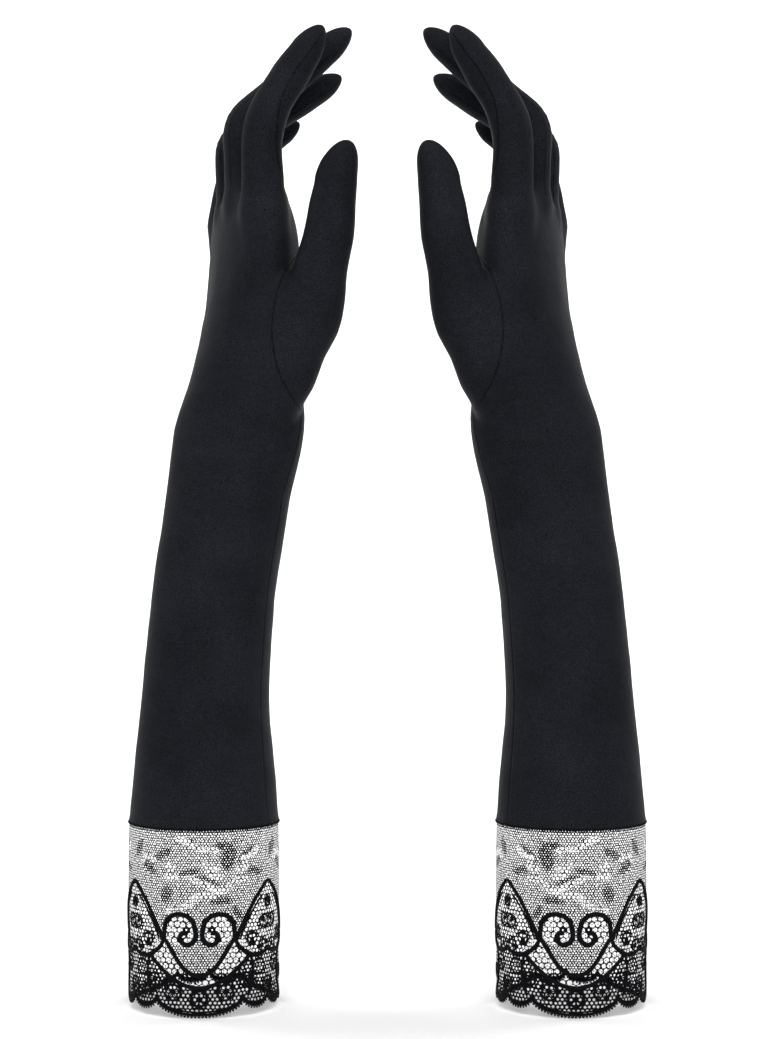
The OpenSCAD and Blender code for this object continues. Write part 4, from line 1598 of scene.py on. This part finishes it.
@dataclass
class Studio:
    """A pale floor that curves up behind, soft lamps and the camera."""

    distance: float = 1.05
    centre_height: float = 0.2232
    frame_height: float = 0.4818
    depth: float = 0.0097

    def floor(self) -> None:
        """A floor swept up into a wall: the profile is flat, then a quarter circle, then upright."""
        t = np.linspace(0, math.pi / 2, 24)
        radius, front, back, height = 1.2, -9.0, 1.6, 3.0
        y = np.concatenate([[front], back + radius * np.sin(t), [back + radius]])
        z = np.concatenate([[0.0], radius - radius * np.cos(t), [height]]) - 0.0012
        x = np.array([front, -front])
        xx, yy = np.meshgrid(x, y, indexing="ij")
        zz = np.tile(z, (2, 1))
        n = len(y)
        mesh = bpy.data.meshes.new("floor")
        i = np.arange(n - 1)
        faces = np.column_stack([i, i + n, i + n + 1, i + 1])
        mesh.from_pydata(np.stack([xx, yy, zz], -1).reshape(-1, 3).tolist(), [], faces.tolist())
        mesh.polygons.foreach_set("use_smooth", np.ones(len(faces), bool))
        material = bpy.data.materials.new("studio paper")
        material.use_nodes = True
        g = Graph(material.node_tree)
        shader = g.tree.nodes["Principled BSDF"]
        place = g.add("ShaderNodeTexCoord").outputs["Object"]
        mottle = g.add("ShaderNodeTexNoise", Vector=place, Scale=3.0, Detail=2.0)
        tone = g.add("ShaderNodeMix", {"data_type": "RGBA"}, i0=mottle.outputs[0])
        tone.inputs[6].default_value = (0.9, 0.9, 0.9, 1)
        tone.inputs[7].default_value = (0.93, 0.93, 0.93, 1)
        g.tree.links.new(tone.outputs[2], shader.inputs["Base Color"])
        shader.inputs["Roughness"].default_value = 0.9
        mesh.materials.append(material)
        floor = bpy.data.objects.new("studio_floor", mesh)
        bpy.context.scene.collection.objects.link(floor)

    def lamp(self, name: str, place: Place, aim: Place, size: float, watts: float) -> None:
        """One square soft lamp aimed at a point.

        Args:
            name: Its name.
            place: Where it stands, in metres.
            aim: What it points at.
            size: Length of its side.
            watts: Its power.
        """
        data = bpy.data.lights.new(name, "AREA")
        data.size = size
        data.energy = watts
        lamp = bpy.data.objects.new(name, data)
        bpy.context.scene.collection.objects.link(lamp)
        lamp.location = place
        way = Vector(aim) - Vector(place)
        lamp.rotation_euler = way.to_track_quat("-Z", "Y").to_euler()

    def camera(self) -> None:
        """The camera, level, in front of the thumbs."""
        data = bpy.data.cameras.new("camera")
        data.sensor_fit = "VERTICAL"
        data.sensor_height = 36.0
        data.lens = 36.0 * self.distance / self.frame_height
        camera = bpy.data.objects.new("camera", data)
        bpy.context.scene.collection.objects.link(camera)
        camera.location = (0.0, self.depth - self.distance, self.centre_height)
        camera.rotation_euler = (math.pi / 2, 0.0, 0.0)
        bpy.context.scene.camera = camera

    def world(self) -> None:
        """A pale, even surrounding light."""
        world = bpy.data.worlds.new("studio air")
        world.use_nodes = True
        background = world.node_tree.nodes["Background"]
        background.inputs[0].default_value = (1.0, 1.0, 1.0, 1.0)
        background.inputs[1].default_value = 0.3
        bpy.context.scene.world = world
        bpy.context.scene.view_settings.view_transform = "Standard"

    def make(self) -> None:
        """Sets up everything that isn't the gloves."""
        self.floor()
        self.lamp("front_lamp", (0.0, -2.0, 0.9), (0.0, 0.0, 0.25), 1.2, 20.0)
        self.lamp("top_lamp", (0.0, -0.6, 2.2), (0.0, 0.2, 0.0), 1.8, 30.0)
        self.lamp("wall_lamp_left", (-1.6, 0.9, 1.6), (-0.3, 2.8, 0.6), 1.4, 44.0)
        self.lamp("wall_lamp_right", (1.6, 0.9, 1.6), (0.3, 2.8, 0.6), 1.4, 44.0)
        self.camera()
        self.world()


def main() -> None:
    """Builds the studio and both gloves."""
    logging.basicConfig(level=logging.INFO, format="%(message)s")
    low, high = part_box("left_lace_cuff")
    cuff_x = (low[0] + high[0]) / 2 / MM
    shop = Workshop(set_back=(low[1] + high[1]) / 2 / MM)
    arm = ArmShape(cuff_x=cuff_x)
    Studio(depth=shop.set_back * MM).make()
    grain = cloth_grain_group()
    finishes = Finishes(
        satin=SatinFinish().make(grain),
        lace=ThreadFinish("lace thread").make(grain),
        cord=ThreadFinish("lace cord", roughness=0.66).make(grain),
        thread=ThreadFinish("sewing thread").make(grain),
    )
    hand = SatinHand(HandField(arm))
    p, quads, normal, seam = hand.skin()
    label = hand.cut(p, quads)
    p = p + normal * hand.folds(p, seam)[:, None]
    for side in Side:
        hand.make(side, shop, finishes, (p, quads, normal, seam, label))
        Sleeve(arm).make(side, shop, finishes)
        CuffSeam(arm).make(side, shop, finishes)
        LaceCuff(arm).make(side, shop, finishes)


if __name__ == "__main__":
    main()
